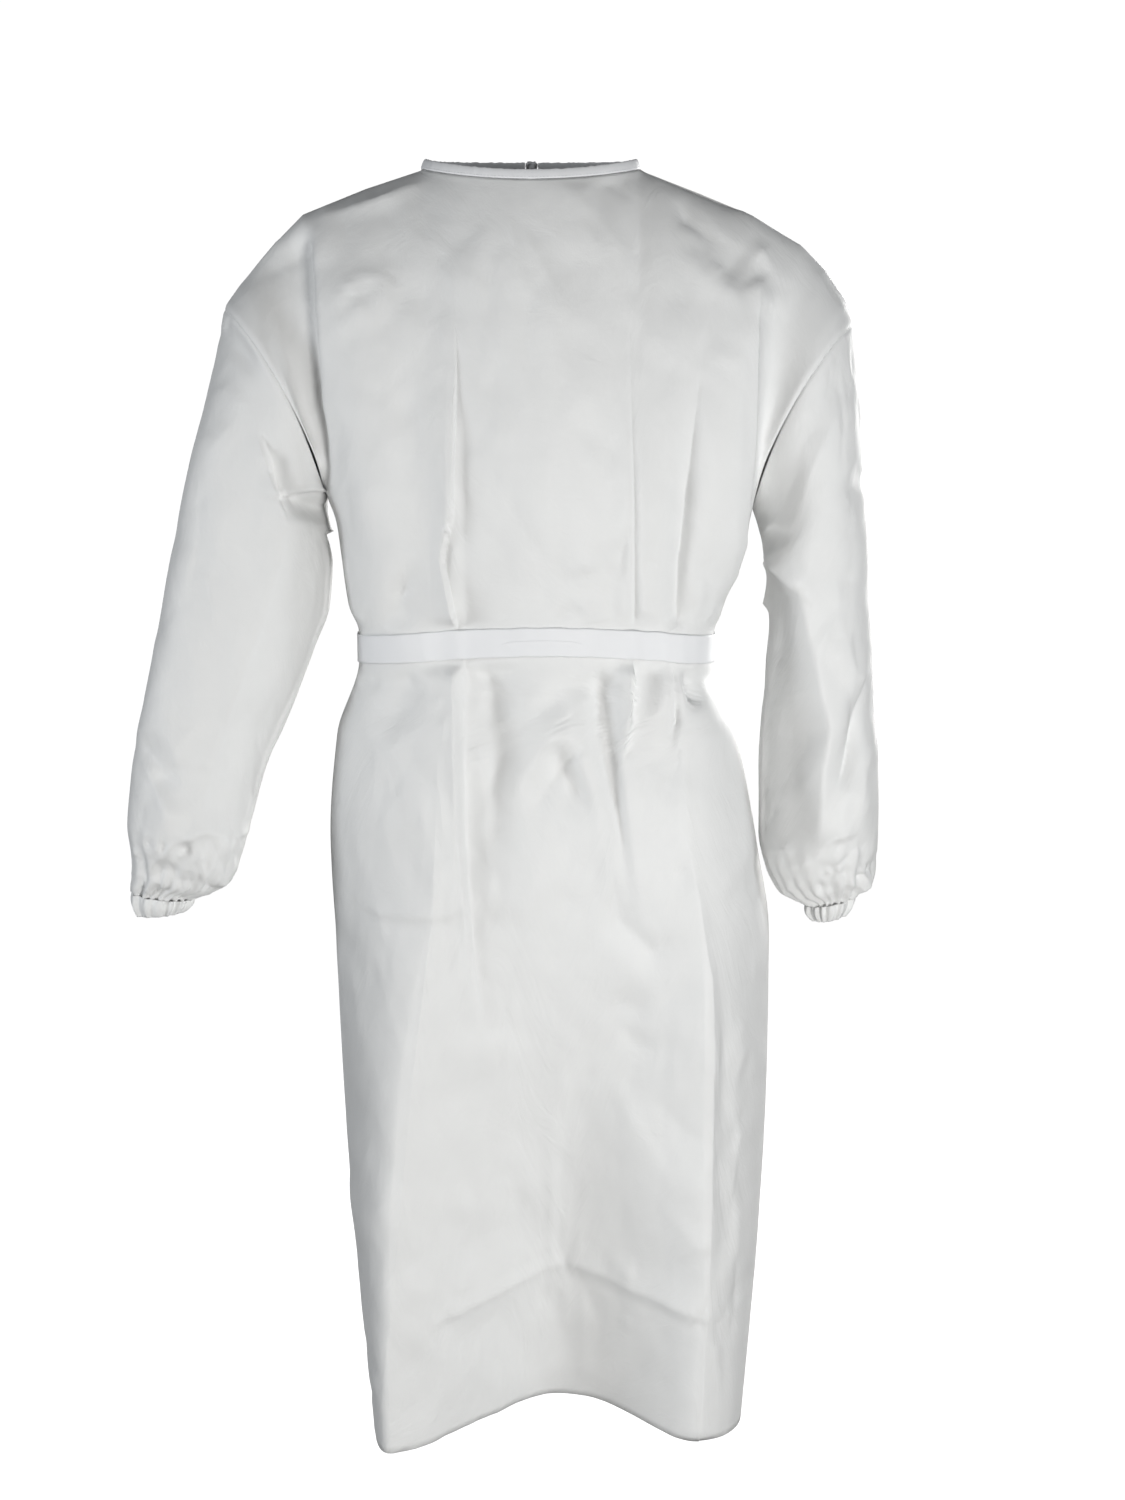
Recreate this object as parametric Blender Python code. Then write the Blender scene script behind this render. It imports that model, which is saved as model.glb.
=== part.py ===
"""Isolation gown in its worn shape, one solid for each sewn piece.

Metres, +Z up. The origin is the middle of the neck opening at the height of the
high shoulder points, the front faces -Y and the wearer's left is at +X. Sizes in
the tables are millimetres. "right" and "left" are the wearer's.
"""
from collections import namedtuple
import math

import bmesh
import bpy
import numpy as np

MM = 0.001

# Walls and gaps
WALL = 1.6
TRIM_WALL = 2.0
SEAM_GAP = 0.3

# Neck opening and its binding. The binding leans in by NECK_LEAN, and NECK_STRETCH
# turns the neck's oval into a circle where its outward ways are taken.
NECK_HALF_WIDTH = 95.0
NECK_FRONT_REACH = 73.0
NECK_BACK_REACH = 60.0
NECK_SIDE_DROP = 8.0
NECK_FRONT_DROP = 23.0
NECK_BACK_DROP = 5.0
NECK_DROP_POWER = 1.5
NECK_LEAN = 0.45
NECK_STRETCH = 1.4
BINDING_HEIGHT = 9.0
BINDING_END = 6.0
BINDING_SWELL = 0.6
BINDING_PROUD = 0.4
BINDING_LEVELS = 4
END_SPACING = 1.4         # the last whole column stays this far from the end, as a ratio

# Waist belt
BELT_TOP = -411.0
BELT_BOTTOM = -435.5
BELT_END = 14.0           # half of the space that the waist knot takes
BELT_CLEAR = 0.4
BELT_BACK_CLEAR = 0.9
GRIP_START = 1.0          # folds lie flat under the belt and come back over this range
GRIP_END = 16.0

# Ties and knots at the back: sizes, then places as rows of the back and as x
TIE_CLEAR = 0.5
TIE_WALL = 1.6
TIE_LEVELS = 9
WAIST_TIE_WIDTH = 22.0
WAIST_TIE_ROWS = (18.16, 26.0)
WAIST_TIE_X = (12.0, 27.0)
NECK_TIE_ROWS = (0.04, 7.0)
NECK_TIE_X = (5.6, 15.0)
WAIST_KNOT = (27.4, 11.0, 28.0)
WAIST_KNOT_CLEAR = 0.2
NECK_KNOT = (11.4, 7.0, 10.0)
NECK_KNOT_RISE = 0.3
NECK_KNOT_SET = 1.6       # how far the knot sits in between the binding's ends
KNOT_ROUND = 0.22

# Overlap of the two backs. Columns are shares of a half width, from the centre line.
NECK_EDGE_U = 0.016       # the backs end just short of the centre line at the neck
LAP_U = 0.29              # lower down each back passes the centre line by this share
LAP_END_ROW = 16.0
LAP_LIFT = 4.4            # how far the outer back lies off the inner one
LAP_RISE = (0.62, 0.36)   # the outer back rises between these columns
BELT_RISE = (-0.56, -0.38)
LAP_RISE_ROWS = 3.0

# Columns and rows of the panels
NECK_U = 0.35             # the neck takes this share of the top edge
RIDGE_U = 0.45            # place of the two front ridges between middle and seam
NECK_COLUMNS = 6          # from the middle to the neck's end
RIDGE_COLUMNS = 2         # from there to the ridge
SIDE_COLUMNS = 10         # from the ridge to the seam
BACK_SEAM_COLUMNS = 11    # from the seam to the neck's end
BACK_EDGE_COLUMNS = 8     # from there to the free edge
ARMHOLE_ROWS = 12
BODY_ROWS = (-294, -318, -342, -366, -390, BELT_TOP, BELT_BOTTOM, -452, -472, -502, -540, -590,
             -640, -695, -755, -820, -885, -945, -985, -1008, -1060, -1120)
ARM_U = 0.6               # the armhole shapes the panels from this column outwards
ARM_POWER = 4.0
FOLD_ROWS = 1.5           # folds fade out towards the shoulder over these rows
FOLD_U = 0.86             # and towards the seams from this column
HOLLOW_POWER = 1.6
OWN_WEIGHT = 3.0          # of a normal, when it is softened with its neighbours
SHARP_ANGLE = 35.0

# Plan of the body at a few heights. The ridges are the corners of the front, fall is
# how far a place lies in front of the side seams, round is the fullness of the sides,
# lean moves the hollow of the front to the left, lift raises the front and arch the
# hollow's lower edge.
Level = namedtuple("Level", "z right left ridge_right ridge_left fall_right fall_left "
                            "fall_middle back round lean lift arch")
LEVELS = (
    Level(-294, -180, 194, -104, 112, 116, 118, 134, 118, 2.30, 1.00, 0, 0),
    Level(-318, -171, 187, -101, 112, 113, 115, 131, 115, 2.25, 1.00, 1, 0),
    Level(-345, -167, 181, -98, 112, 110, 112, 127, 112, 2.20, 1.00, 3, 0),
    Level(-385, -161, 170, -92, 112, 105, 106, 120, 108, 2.15, 1.00, 8, 0),
    Level(BELT_TOP, -152, 161, -88, 112, 102, 102, 116, 106, 2.10, 1.00, 11, 0),
    Level(BELT_BOTTOM, -152, 160, -84, 113, 103, 103, 115, 106, 2.00, 1.00, 11, 0),
    Level(-500, -172, 181, -76, 123, 116, 115, 122, 120, 1.90, 1.00, 8, 0),
    Level(-590, -179, 199, -74, 134, 128, 125, 126, 132, 1.70, 1.05, 4, 0),
    Level(-680, -175, 212, -92, 146, 131, 124, 117, 138, 1.60, 1.10, 2, 2),
    Level(-800, -170, 211, -112, 150, 131, 115, 96, 140, 1.60, 1.14, 0, 7),
    Level(-950, -160, 204, -121, 150, 125, 102, 62, 142, 1.80, 1.16, 0, 14),
    Level(-1120, -143, 190, -122, 143, 117, 85, 26, 144, 2.30, 1.16, 0, 22),
)
BACK_ROUND = 2.2

# Shoulder line from the neck to the top of the armhole
Shoulder = namedtuple("Shoulder", "u x z")
SHOULDERS = {
    "right": (Shoulder(0.350, -95, -8), Shoulder(0.503, -144, -24), Shoulder(0.680, -199, -46),
              Shoulder(0.782, -223, -70), Shoulder(0.927, -254, -108), Shoulder(1.0, -268, -128)),
    "left": (Shoulder(0.350, 95, -8), Shoulder(0.499, 147, -28), Shoulder(0.635, 193, -47),
             Shoulder(0.767, 235, -72), Shoulder(0.854, 257, -95), Shoulder(0.942, 275, -122),
             Shoulder(1.0, 282, -142)),
}

# Rings of the sleeves from the armhole to the cuff seam. Each ring runs from an outer
# to an inner point in the front view, fore and aft are its depths from its middle,
# which lies at mid. The front crest stands at crest of the width from the middle
# towards the outer edge, and bow draws the armhole in towards the body.
Ring = namedtuple("Ring", "along out_x out_z in_x in_z fore aft mid crest round bow")
SLEEVES = {
    "right": (
        Ring(0, -268, -128, -180, -289, 78, 78, 0, 0.00, 2.0, 16),
        Ring(60, -281, -190, -180, -316, 74, 72, 0, 0.00, 2.0, 7),
        Ring(125, -297, -255, -176, -350, 69, 67, -3, 0.05, 2.0, 0),
        Ring(190, -312, -321, -178, -385, 64, 62, -6, 0.08, 2.0, 0),
        Ring(250, -324, -383, -192, -425, 60, 58, -9, 0.10, 2.0, 0),
        Ring(330, -340, -465, -212, -478, 57, 55, -13, 0.10, 2.0, 0),
        Ring(400, -352, -530, -233, -528, 55, 52, -17, 0.05, 2.0, 0),
        Ring(450, -356, -576, -247, -573, 51, 50, -20, 0.00, 2.0, 0),
        Ring(488, -353, -607, -258, -610, 46, 46, -22, 0.00, 2.0, 0),
        Ring(513, -352, -627, -273, -635, 39, 39, -23, 0.00, 2.0, 0),
        Ring(533, -353, -640, -300, -646, 28, 28, -24, 0.00, 2.0, 0),
    ),
    "left": (
        Ring(0, 282, -142, 194, -299, 78, 78, 0, 0.00, 2.0, 16),
        Ring(60, 287, -190, 202, -322, 78, 74, 0, 0.00, 1.9, 7),
        Ring(125, 292, -255, 209, -350, 76, 70, -3, -0.15, 1.6, 0),
        Ring(190, 295, -320, 212, -388, 73, 68, -6, -0.30, 1.5, 0),
        Ring(250, 298, -385, 209, -430, 71, 66, -8, -0.20, 1.5, 0),
        Ring(330, 302, -460, 205, -483, 68, 63, -12, -0.05, 1.5, 0),
        Ring(400, 306, -535, 201, -545, 64, 60, -16, 0.05, 1.6, 0),
        Ring(450, 306, -584, 201, -586, 58, 56, -19, 0.05, 1.7, 0),
        Ring(488, 305, -614, 208, -618, 50, 50, -21, 0.00, 1.9, 0),
        Ring(513, 301, -631, 222, -640, 40, 40, -22, 0.00, 2.0, 0),
        Ring(533, 286, -643, 244, -652, 28, 28, -23, 0.00, 2.0, 0),
    ),
}
CUFF_ENDS = {
    "right": Ring(547, -349, -660, -308, -657, 26, 26, -24, 0.00, 2.0, 0),
    "left": Ring(547, 278, -659, 249, -665, 26, 26, -23, 0.00, 2.0, 0),
}
BOW_POWER = 1.6
ARMHOLE_TOP_OUT = (0.94, 0.32)
UNDERARM_OUT = (0.6, -0.8)
SLEEVE_ROWS = (0, 30, 60, 95, 130, 165, 200, 240, 280, 320, 360, 400, 432, 460, 485, 503, 519, 533)
GATHER_START = 460.0
GATHER_DEPTH = 4.0
CUFF_GATHER_DEPTH = 3.0
CUFF_SWELL = 2.0
CUFF_LEVELS = 4
FACING_FADE = (-0.2, 0.4) # sleeve folds belong to the front and fade as the sleeve turns away

# Large folds in the front view: a straight crest or trough from a start to an end,
# its height along the cloth's normal, its widths on the two sides (before is the wearer's
# right of a falling line or below a level one), the share of its length over which it
# fades in and out, and how crisp it is.
Fold = namedtuple("Fold", "x0 z0 x1 z1 height before after fade_in fade_out crisp")
FRONT_FOLDS = (
    # The front's edge before the right armhole, with the cloth tucked in behind it
    Fold(-201, -50, -196, -160, -17, 60, 15, 0.25, 0.02, 0.3),
    Fold(-196, -160, -184, -286, -17, 50, 15, 0.02, 0.35, 0.3),
    # Folds that run down the chest to the belt
    Fold(-70, -160, -66, -405, 7, 42, 14, 0.55, 0.01, 0.5),
    Fold(82, -165, 87, -405, 6, 16, 36, 0.50, 0.01, 0.5),
    Fold(140, -180, 122, -405, -6, 20, 22, 0.45, 0.01, 0.3),
    Fold(178, -100, 165, -385, 7, 24, 30, 0.20, 0.20, 0.4),
    Fold(-99, -340, -110, -405, -8, 22, 22, 0.60, 0.02, 0.3),
    Fold(127, -66, 186, -106, -6, 22, 22, 0.40, 0.30, 0.4),
    Fold(186, -106, 206, -140, 6, 18, 22, 0.25, 0.50, 0.4),
    Fold(-172, -156, -133, -124, 4, 18, 18, 0.40, 0.30, 0.5),
    # Folds that open below the belt
    Fold(-66, -430, -70, -600, 9, 34, 16, 0.02, 0.70, 0.5),
    Fold(-52, -430, -38, -640, -10, 16, 34, 0.02, 0.60, 0.3),
    Fold(58, -438, 82, -600, -9, 24, 18, 0.05, 0.60, 0.3),
    Fold(84, -430, 82, -510, 7, 12, 16, 0.02, 0.70, 0.6),
    Fold(121, -430, 117, -505, 5, 16, 16, 0.02, 0.70, 0.5),
    Fold(136, -430, 156, -480, -7, 18, 24, 0.02, 0.60, 0.4),
    Fold(-97, -436, -146, -520, -6, 26, 26, 0.15, 0.60, 0.2),
    Fold(18, -492, 54, -552, -7, 26, 22, 0.30, 0.40, 0.4),
    # The skirt's left front corner, then soft diagonals and packing folds
    Fold(148, -640, 151, -1120, 5, 34, 20, 0.25, 0.01, 0.7),
    Fold(60, -780, 146, -916, 5, 42, 30, 0.40, 0.30, 0.3),
    Fold(64, -714, 104, -740, -4, 24, 24, 0.40, 0.40, 0.4),
    Fold(-76, -1004, 30, -968, 3, 26, 14, 0.10, 0.05, 0.8),
    Fold(30, -968, 150, -1001, 3, 14, 26, 0.05, 0.10, 0.8),
)
BACK_FOLDS = (
    Fold(-120, -150, -104, -405, 7, 30, 26, 0.50, 0.01, 0.4),
    Fold(112, -140, 106, -405, 8, 26, 34, 0.50, 0.01, 0.4),
    Fold(-146, -330, -138, -405, -6, 18, 18, 0.50, 0.02, 0.3),
    Fold(-92, -440, -104, -650, 9, 24, 30, 0.02, 0.60, 0.4),
    Fold(-128, -440, -150, -560, -7, 18, 18, 0.05, 0.60, 0.3),
    Fold(90, -440, 110, -700, 9, 26, 24, 0.02, 0.60, 0.4),
    Fold(124, -440, 138, -540, -7, 16, 18, 0.05, 0.60, 0.3),
    Fold(-110, -760, -118, -1120, 6, 50, 44, 0.30, 0.01, 0.3),
    Fold(122, -720, 128, -1120, 7, 46, 50, 0.30, 0.01, 0.3),
)
SLEEVE_FOLDS = {
    "right": (
        Fold(-262, -136, -218, -184, -8, 26, 24, 0.05, 0.50, 0.4),
        Fold(-224, -252, -200, -300, -6, 18, 20, 0.30, 0.30, 0.4),
        Fold(-210, -292, -170, -300, -10, 20, 8, 0.35, 0.05, 0.4),
        Fold(-346, -495, -308, -548, -6, 24, 24, 0.30, 0.30, 0.4),
        Fold(-310, -546, -326, -612, 6, 22, 22, 0.30, 0.40, 0.5),
    ),
    "left": (
        Fold(206, -330, 236, -372, 5, 16, 12, 0.30, 0.20, 0.5),
        Fold(292, -450, 262, -552, -6, 22, 22, 0.30, 0.30, 0.4),
        Fold(300, -270, 262, -300, -5, 20, 22, 0.20, 0.50, 0.3),
    ),
}

SIDES = {"right": -1, "left": 1}
PAPER_WHITE = (0.86, 0.87, 0.90, 1.0)
BELT_WHITE = (0.89, 0.90, 0.94, 1.0)


def smoothstep(low, high, value):
    share = np.clip((value - low) / (high - low), 0.0, 1.0)
    return share * share * (3.0 - 2.0 * share)


def through(places, values, at):
    """Smooth curve through the values, without overshoot (monotone cubic)."""
    places = np.asarray(places, float)
    values = np.asarray(values, float)
    if places[0] > places[-1]:
        places, values = places[::-1], values[::-1]
    step = np.diff(places)
    slope = np.diff(values) / step
    tangent = np.zeros_like(values)
    same = slope[:-1] * slope[1:] > 0
    tangent[1:-1][same] = 2 * slope[:-1][same] * slope[1:][same] / (slope[:-1] + slope[1:])[same]
    tangent[0], tangent[-1] = slope[0], slope[-1]
    at = np.clip(at, places[0], places[-1])
    cell = np.clip(np.searchsorted(places, at) - 1, 0, len(step) - 1)
    t = (at - places[cell]) / step[cell]
    width = step[cell]
    return (values[cell] * (1 + 2 * t) * (1 - t) ** 2 + values[cell + 1] * t * t * (3 - 2 * t)
            + width * tangent[cell] * t * (1 - t) ** 2 - width * tangent[cell + 1] * t * t * (1 - t))


def column(table, name):
    return np.array([getattr(row, name) for row in table], float)


def level_at(z):
    """The row of LEVELS at any height, smoothly between the given ones."""
    heights = column(LEVELS, "z")
    return Level(*[through(heights, column(LEVELS, name), z) for name in Level._fields])


def ring_at(table, along):
    places = column(table, "along")
    return Ring(*[through(places, column(table, name), along) for name in Ring._fields])


def fold_height(folds, x, z):
    """Height of all the folds at places of the front view, in millimetres."""
    height = np.zeros(np.broadcast(x, z).shape)
    for fold in folds:
        run_x, run_z = fold.x1 - fold.x0, fold.z1 - fold.z0
        length = math.hypot(run_x, run_z)
        along = ((x - fold.x0) * run_x + (z - fold.z0) * run_z) / length ** 2
        across = ((z - fold.z0) * run_x - (x - fold.x0) * run_z) / length
        ends = np.clip(np.minimum(along / fold.fade_in, (1 - along) / fold.fade_out), 0, 1)
        width = np.where(across < 0, fold.before, fold.after)
        share = np.clip(1 - np.abs(across) / width, 0, 1)
        form = fold.crisp * share + (1 - fold.crisp) * smoothstep(0, 1, share)
        height += fold.height * smoothstep(0, 1, ends) * form
    return height


def belt_grip(z, belt_z):
    """Folds lie flat where the belt presses on them."""
    half = (BELT_TOP - BELT_BOTTOM) / 2
    return smoothstep(half + GRIP_START, half + GRIP_END, np.abs(z - belt_z))


def outward(grid, sign):
    """Unit normals of a grid of points, sign says which way is out."""
    down = np.gradient(grid, axis=0)
    across = np.gradient(grid, axis=1)
    normal = np.cross(down, across) * sign
    return normal / np.maximum(np.linalg.norm(normal, axis=2, keepdims=True), 1e-9)


def unit(vectors):
    return vectors / np.maximum(np.linalg.norm(vectors, axis=-1, keepdims=True), 1e-9)


def sleeve_ring(side, along, angle):
    """Points of a sleeve's ring: angle 0 is the outer edge, pi the inner one."""
    ring = ring_at(SLEEVES[side] + (CUFF_ENDS[side],), along)
    turn = np.cos(angle)
    front = np.sin(angle) >= 0
    crest = np.where(front, ring.crest, 0.0)
    fullness = np.where(front, ring.round, 2.0)
    share = np.abs(turn) ** (2 / fullness)
    place = np.where(turn >= 0, crest + (1 - crest) * share, crest - (1 + crest) * share)
    depth = np.abs(np.sin(angle)) ** (2 / fullness)
    out = np.array([ring.out_x, ring.out_z])
    inner = np.array([ring.in_x, ring.in_z])
    middle, half = (out + inner) / 2, (out - inner) / 2
    to_body = unit(np.array([-half[1], half[0]])) * SIDES[side]
    bow = ring.bow * np.abs(np.sin(angle)) ** BOW_POWER
    x = middle[0] + half[0] * place + to_body[0] * bow
    z = middle[1] + half[1] * place + to_body[1] * bow
    y = ring.mid + np.where(front, -ring.fore, ring.aft) * depth
    return np.stack([x, y, z], axis=-1)


def sleeve_way(side):
    """The way a sleeve leaves its armhole, square to the armhole's chord."""
    first = SLEEVES[side][0]
    chord = unit(np.array([first.out_x - first.in_x, first.out_z - first.in_z], float))
    return np.array([chord[1], 0.0, -chord[0]]) * SIDES[side]


def top_edge(u, front):
    """The shoulder seams and the neck edge between them."""
    side = np.where(u < 0, -1.0, 1.0)
    turn = np.clip(np.abs(u) / NECK_U, 0, 1) * math.pi / 2
    reach = -NECK_FRONT_REACH if front else NECK_BACK_REACH
    middle_z = -NECK_FRONT_DROP if front else -NECK_BACK_DROP
    x = side * NECK_HALF_WIDTH * np.sin(turn)
    y = reach * np.cos(turn)
    z = -NECK_SIDE_DROP + (middle_z + NECK_SIDE_DROP) * np.cos(turn) ** NECK_DROP_POWER
    for name, sign in SIDES.items():
        table = SHOULDERS[name]
        on_shoulder = (u * sign > NECK_U)
        x = np.where(on_shoulder, np.interp(np.abs(u), column(table, "u"), column(table, "x")), x)
        z = np.where(on_shoulder, np.interp(np.abs(u), column(table, "u"), column(table, "z")), z)
        y = np.where(on_shoulder, 0.0, y)
    return np.stack([x, y, z], axis=-1)


def front_plan(u, z):
    """A place of the front at a height below the armholes."""
    level = level_at(z)
    side = np.abs(u) > RIDGE_U
    turn = (1 - np.clip((np.abs(u) - RIDGE_U) / (1 - RIDGE_U), 0, 1)) * math.pi / 2
    edge = np.where(u < 0, level.right, level.left)
    ridge = np.where(u < 0, level.ridge_right, level.ridge_left)
    fall = np.where(u < 0, level.fall_right, level.fall_left)
    side_x = ridge + (edge - ridge) * np.cos(turn) ** (2 / level.round)
    side_y = -fall * np.sin(turn) ** (2 / level.round)
    share = np.clip((u + RIDGE_U) / (2 * RIDGE_U), 0, 1)
    hollow = np.sin(math.pi * share ** level.lean) ** HOLLOW_POWER
    mean_fall = level.fall_right + (level.fall_left - level.fall_right) * share
    middle_x = level.ridge_right + (level.ridge_left - level.ridge_right) * share
    middle_y = -mean_fall - (level.fall_middle - (level.fall_right + level.fall_left) / 2) * hollow
    height = z + level.lift * np.cos(u * math.pi / 2) ** 2 + level.arch * hollow * ~side
    return np.stack([np.where(side, side_x, middle_x), np.where(side, side_y, middle_y), height],
                    axis=-1)


def back_plan(u, z):
    level = level_at(z)
    middle = (level.right + level.left) / 2
    turn = (1 - np.abs(u)) * math.pi / 2
    edge = np.where(u < 0, level.right, level.left)
    x = middle + (edge - middle) * np.cos(turn) ** (2 / BACK_ROUND)
    y = level.back * np.sin(turn) ** (2 / BACK_ROUND)
    height = z - 0.5 * level.lift * np.cos(u * math.pi / 2) ** 2
    return np.stack([x, y, height], axis=-1)


def underarm_tilt(points, z):
    """The left underarm lies a little lower than the right one."""
    low, high = SLEEVES["left"][0], SLEEVES["right"][0]
    middle_x = (low.in_x + high.in_x) / 2
    slope = (low.in_z - high.in_z) / (low.in_x - high.in_x)
    fade = np.clip((z - BELT_TOP) / (BODY_ROWS[0] - BELT_TOP), 0, 1)
    points[..., 2] += (points[..., 0] - middle_x) * slope * fade
    return points


def body_point(u, row, front):
    """A place of the unfolded body: rows 0 to ARMHOLE_ROWS run down the armhole."""
    plan = front_plan if front else back_plan
    z = np.interp(row - ARMHOLE_ROWS, np.arange(len(BODY_ROWS)), BODY_ROWS)
    lower = underarm_tilt(plan(u, z), z)
    share = np.clip(row / ARMHOLE_ROWS, 0, 1)
    top = top_edge(u, front)
    edge = smoothstep(ARM_U, 1.0, np.abs(u))
    drop = (1 - edge) * share + edge * (1 - np.cos(math.pi * share)) / 2
    upper = top + (lower - top) * drop[..., None]
    full = np.where(np.abs(lower[..., 1]) > 1e-6, lower[..., 1], 1.0)
    start = np.sqrt(1 - np.clip(top[..., 1] / full, 0, 1) ** 2)
    chest = lower[..., 1] * np.sqrt(1 - (start * (1 - share)) ** 2)
    angle = math.pi * share * (1 if front else -1)
    for side, sign in SIDES.items():
        here = u * sign > 0
        seam = sleeve_ring(side, 0.0, angle)
        first = SLEEVES[side][0]
        way = (1 - np.cos(angle)) / 2
        chord_x = first.out_x + (first.in_x - first.out_x) * way
        chord_z = first.out_z + (first.in_z - first.out_z) * way
        upper[..., 0] += np.where(here, (seam[..., 0] - chord_x) * edge, 0.0)
        upper[..., 2] += np.where(here, (seam[..., 2] - chord_z) * edge, 0.0)
        arm = seam[..., 1] * edge + lower[..., 1] * edge * share ** ARM_POWER
        upper[..., 1] = np.where(here, chest * (1 - edge) + arm, upper[..., 1])
    upper[..., 1] = np.where(u == 0, chest, upper[..., 1])
    return np.where((row <= ARMHOLE_ROWS)[..., None], upper, lower)


def belt_middle(u, front):
    """Height of the belt's centre line round the body."""
    z = np.full_like(u, (BELT_TOP + BELT_BOTTOM) / 2)
    plan = front_plan if front else back_plan
    return plan(u, z)[..., 2]


def panel(u, row, front, lift=0.0):
    """Outer points and outward normals of a folded panel, seams squared up."""
    sign = -1 if front else 1
    base = body_point(u, row, front)
    turned = 1 if u[0, -1] > u[0, 0] else -1
    facing = outward(base, -sign * turned)
    folds = FRONT_FOLDS if front else BACK_FOLDS
    height = fold_height(folds, base[..., 0], base[..., 2])
    height *= belt_grip(base[..., 2], belt_middle(u, front))
    height *= smoothstep(0, FOLD_ROWS, row) * smoothstep(1.0, FOLD_U, np.abs(u))
    points = base + facing * (height + lift)[..., None]
    normals = outward(points, -sign * turned)
    points[..., 1] += sign * SEAM_GAP / 2
    square_seams(points, normals, u, row, front)
    normals[1:-1, 1:-1] = softened(normals)
    return points, normals


def softened(normals):
    """Each normal with a part of its neighbours', so that a wall stays clear of itself."""
    rows, columns = normals.shape[0] - 2, normals.shape[1] - 2
    total = normals[1:-1, 1:-1] * OWN_WEIGHT
    for i in range(3):
        for j in range(3):
            total += normals[i:i + rows, j:j + columns]
    return unit(total)


def square_seams(points, normals, u, row, front):
    """At a seam both pieces take their wall the same way, so their rims face each other."""
    on_side = (np.abs(u) == 1) & (row > ARMHOLE_ROWS)
    on_shoulder = (row == 0) & (np.abs(u) >= NECK_U)
    level = on_side | on_shoulder
    normals[..., 1] = np.where(level, 0.0, normals[..., 1])
    on_neck = (row == 0) & (np.abs(u) <= NECK_U)
    out, _ = neck_frame(points)
    normals[:] = np.where(on_neck[..., None], out, normals)
    for side, sign in SIDES.items():
        on_armhole = (u == sign) & (row <= ARMHOLE_ROWS)
        angle = math.pi * np.clip(row / ARMHOLE_ROWS, 0, 1) * (1 if front else -1)
        normals[:] = np.where(on_armhole[..., None], armhole_out(side, angle, 1), normals)
    normals[:] = unit(normals)


def neck_frame(points):
    """Outward and upward ways of the binding at points of the neck edge."""
    radial = unit(points * np.array([1.0, NECK_STRETCH, 0.0]))
    vertical = np.array([0.0, 0.0, 1.0])
    return unit(radial + vertical * NECK_LEAN), unit(vertical - radial * NECK_LEAN)


def armhole_out(side, angle, lean):
    """Outward way round an armhole: off the shoulder at its top, down at the underarm.

    There the body's wall leans out (lean 1) and the sleeve's leans in (lean -1).
    """
    top = np.array([SIDES[side] * ARMHOLE_TOP_OUT[0], 0.0, ARMHOLE_TOP_OUT[1]])
    under = np.array([SIDES[side] * lean * UNDERARM_OUT[0], 0.0, UNDERARM_OUT[1]])
    turn = np.cos(angle)[..., None]
    way = top * np.maximum(turn, 0) + under * np.maximum(-turn, 0)
    return unit(way + np.array([0.0, -1.0, 0.0]) * np.sin(angle)[..., None])


def new_material(name, colour, roughness):
    material = bpy.data.materials.new(name)
    material.use_nodes = True
    shader = material.node_tree.nodes["Principled BSDF"]
    shader.inputs["Base Color"].default_value = colour
    shader.inputs["Roughness"].default_value = roughness
    shader.inputs["Metallic"].default_value = 0.0
    return material


def cloth_wall(name, outer, inner, material, tube=False):
    """A closed wall between two equal grids of points, in millimetres.

    A tube's last column lies on its first and is merged with it.
    """
    rows, columns = outer.shape[:2]
    mesh = bmesh.new()
    bmesh.ops.create_grid(mesh, x_segments=columns - 1, y_segments=rows - 1, size=1.0)
    place = mesh.verts.layers.int.new("place")
    for vertex in mesh.verts:
        j = round((vertex.co.x + 1) / 2 * (columns - 1))
        i = round((vertex.co.y + 1) / 2 * (rows - 1))
        vertex[place] = i * columns + j
        vertex.co = outer[i, j] * MM
    if tube:
        bmesh.ops.remove_doubles(mesh, verts=mesh.verts[:], dist=1e-7)
    bmesh.ops.triangulate(mesh, faces=mesh.faces[:], quad_method="SHORT_EDGE")
    grown = bmesh.ops.extrude_face_region(mesh, geom=mesh.faces[:], use_keep_orig=True)
    for item in grown["geom"]:
        if isinstance(item, bmesh.types.BMVert):
            i, j = divmod(item[place], columns)
            item.co = inner[i, j] * MM
    bmesh.ops.recalc_face_normals(mesh, faces=mesh.faces[:])
    data = bpy.data.meshes.new(name)
    mesh.to_mesh(data)
    mesh.free()
    data.shade_smooth()
    data.set_sharp_from_angle(angle=math.radians(SHARP_ANGLE))
    data.materials.append(material)
    thing = bpy.data.objects.new(name, data)
    bpy.context.scene.collection.objects.link(thing)
    return thing


def body_rows():
    return np.arange(ARMHOLE_ROWS + len(BODY_ROWS), dtype=float)


def front_grid():
    """Columns from the right seam to the left one, with one at each end of the neck."""
    neck = np.linspace(0.0, NECK_U, NECK_COLUMNS + 1)
    ridge = np.linspace(NECK_U, RIDGE_U, RIDGE_COLUMNS + 1)[1:]
    side = np.linspace(RIDGE_U, 1.0, SIDE_COLUMNS + 1)[1:]
    half = np.concatenate([neck, ridge, side])
    return np.meshgrid(np.concatenate([-half[:0:-1], half]), body_rows())


def back_edge(row):
    """Where a back ends past the centre line, as a share of its half width."""
    return NECK_EDGE_U - (NECK_EDGE_U + LAP_U) * smoothstep(0, LAP_END_ROW, row)


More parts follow.
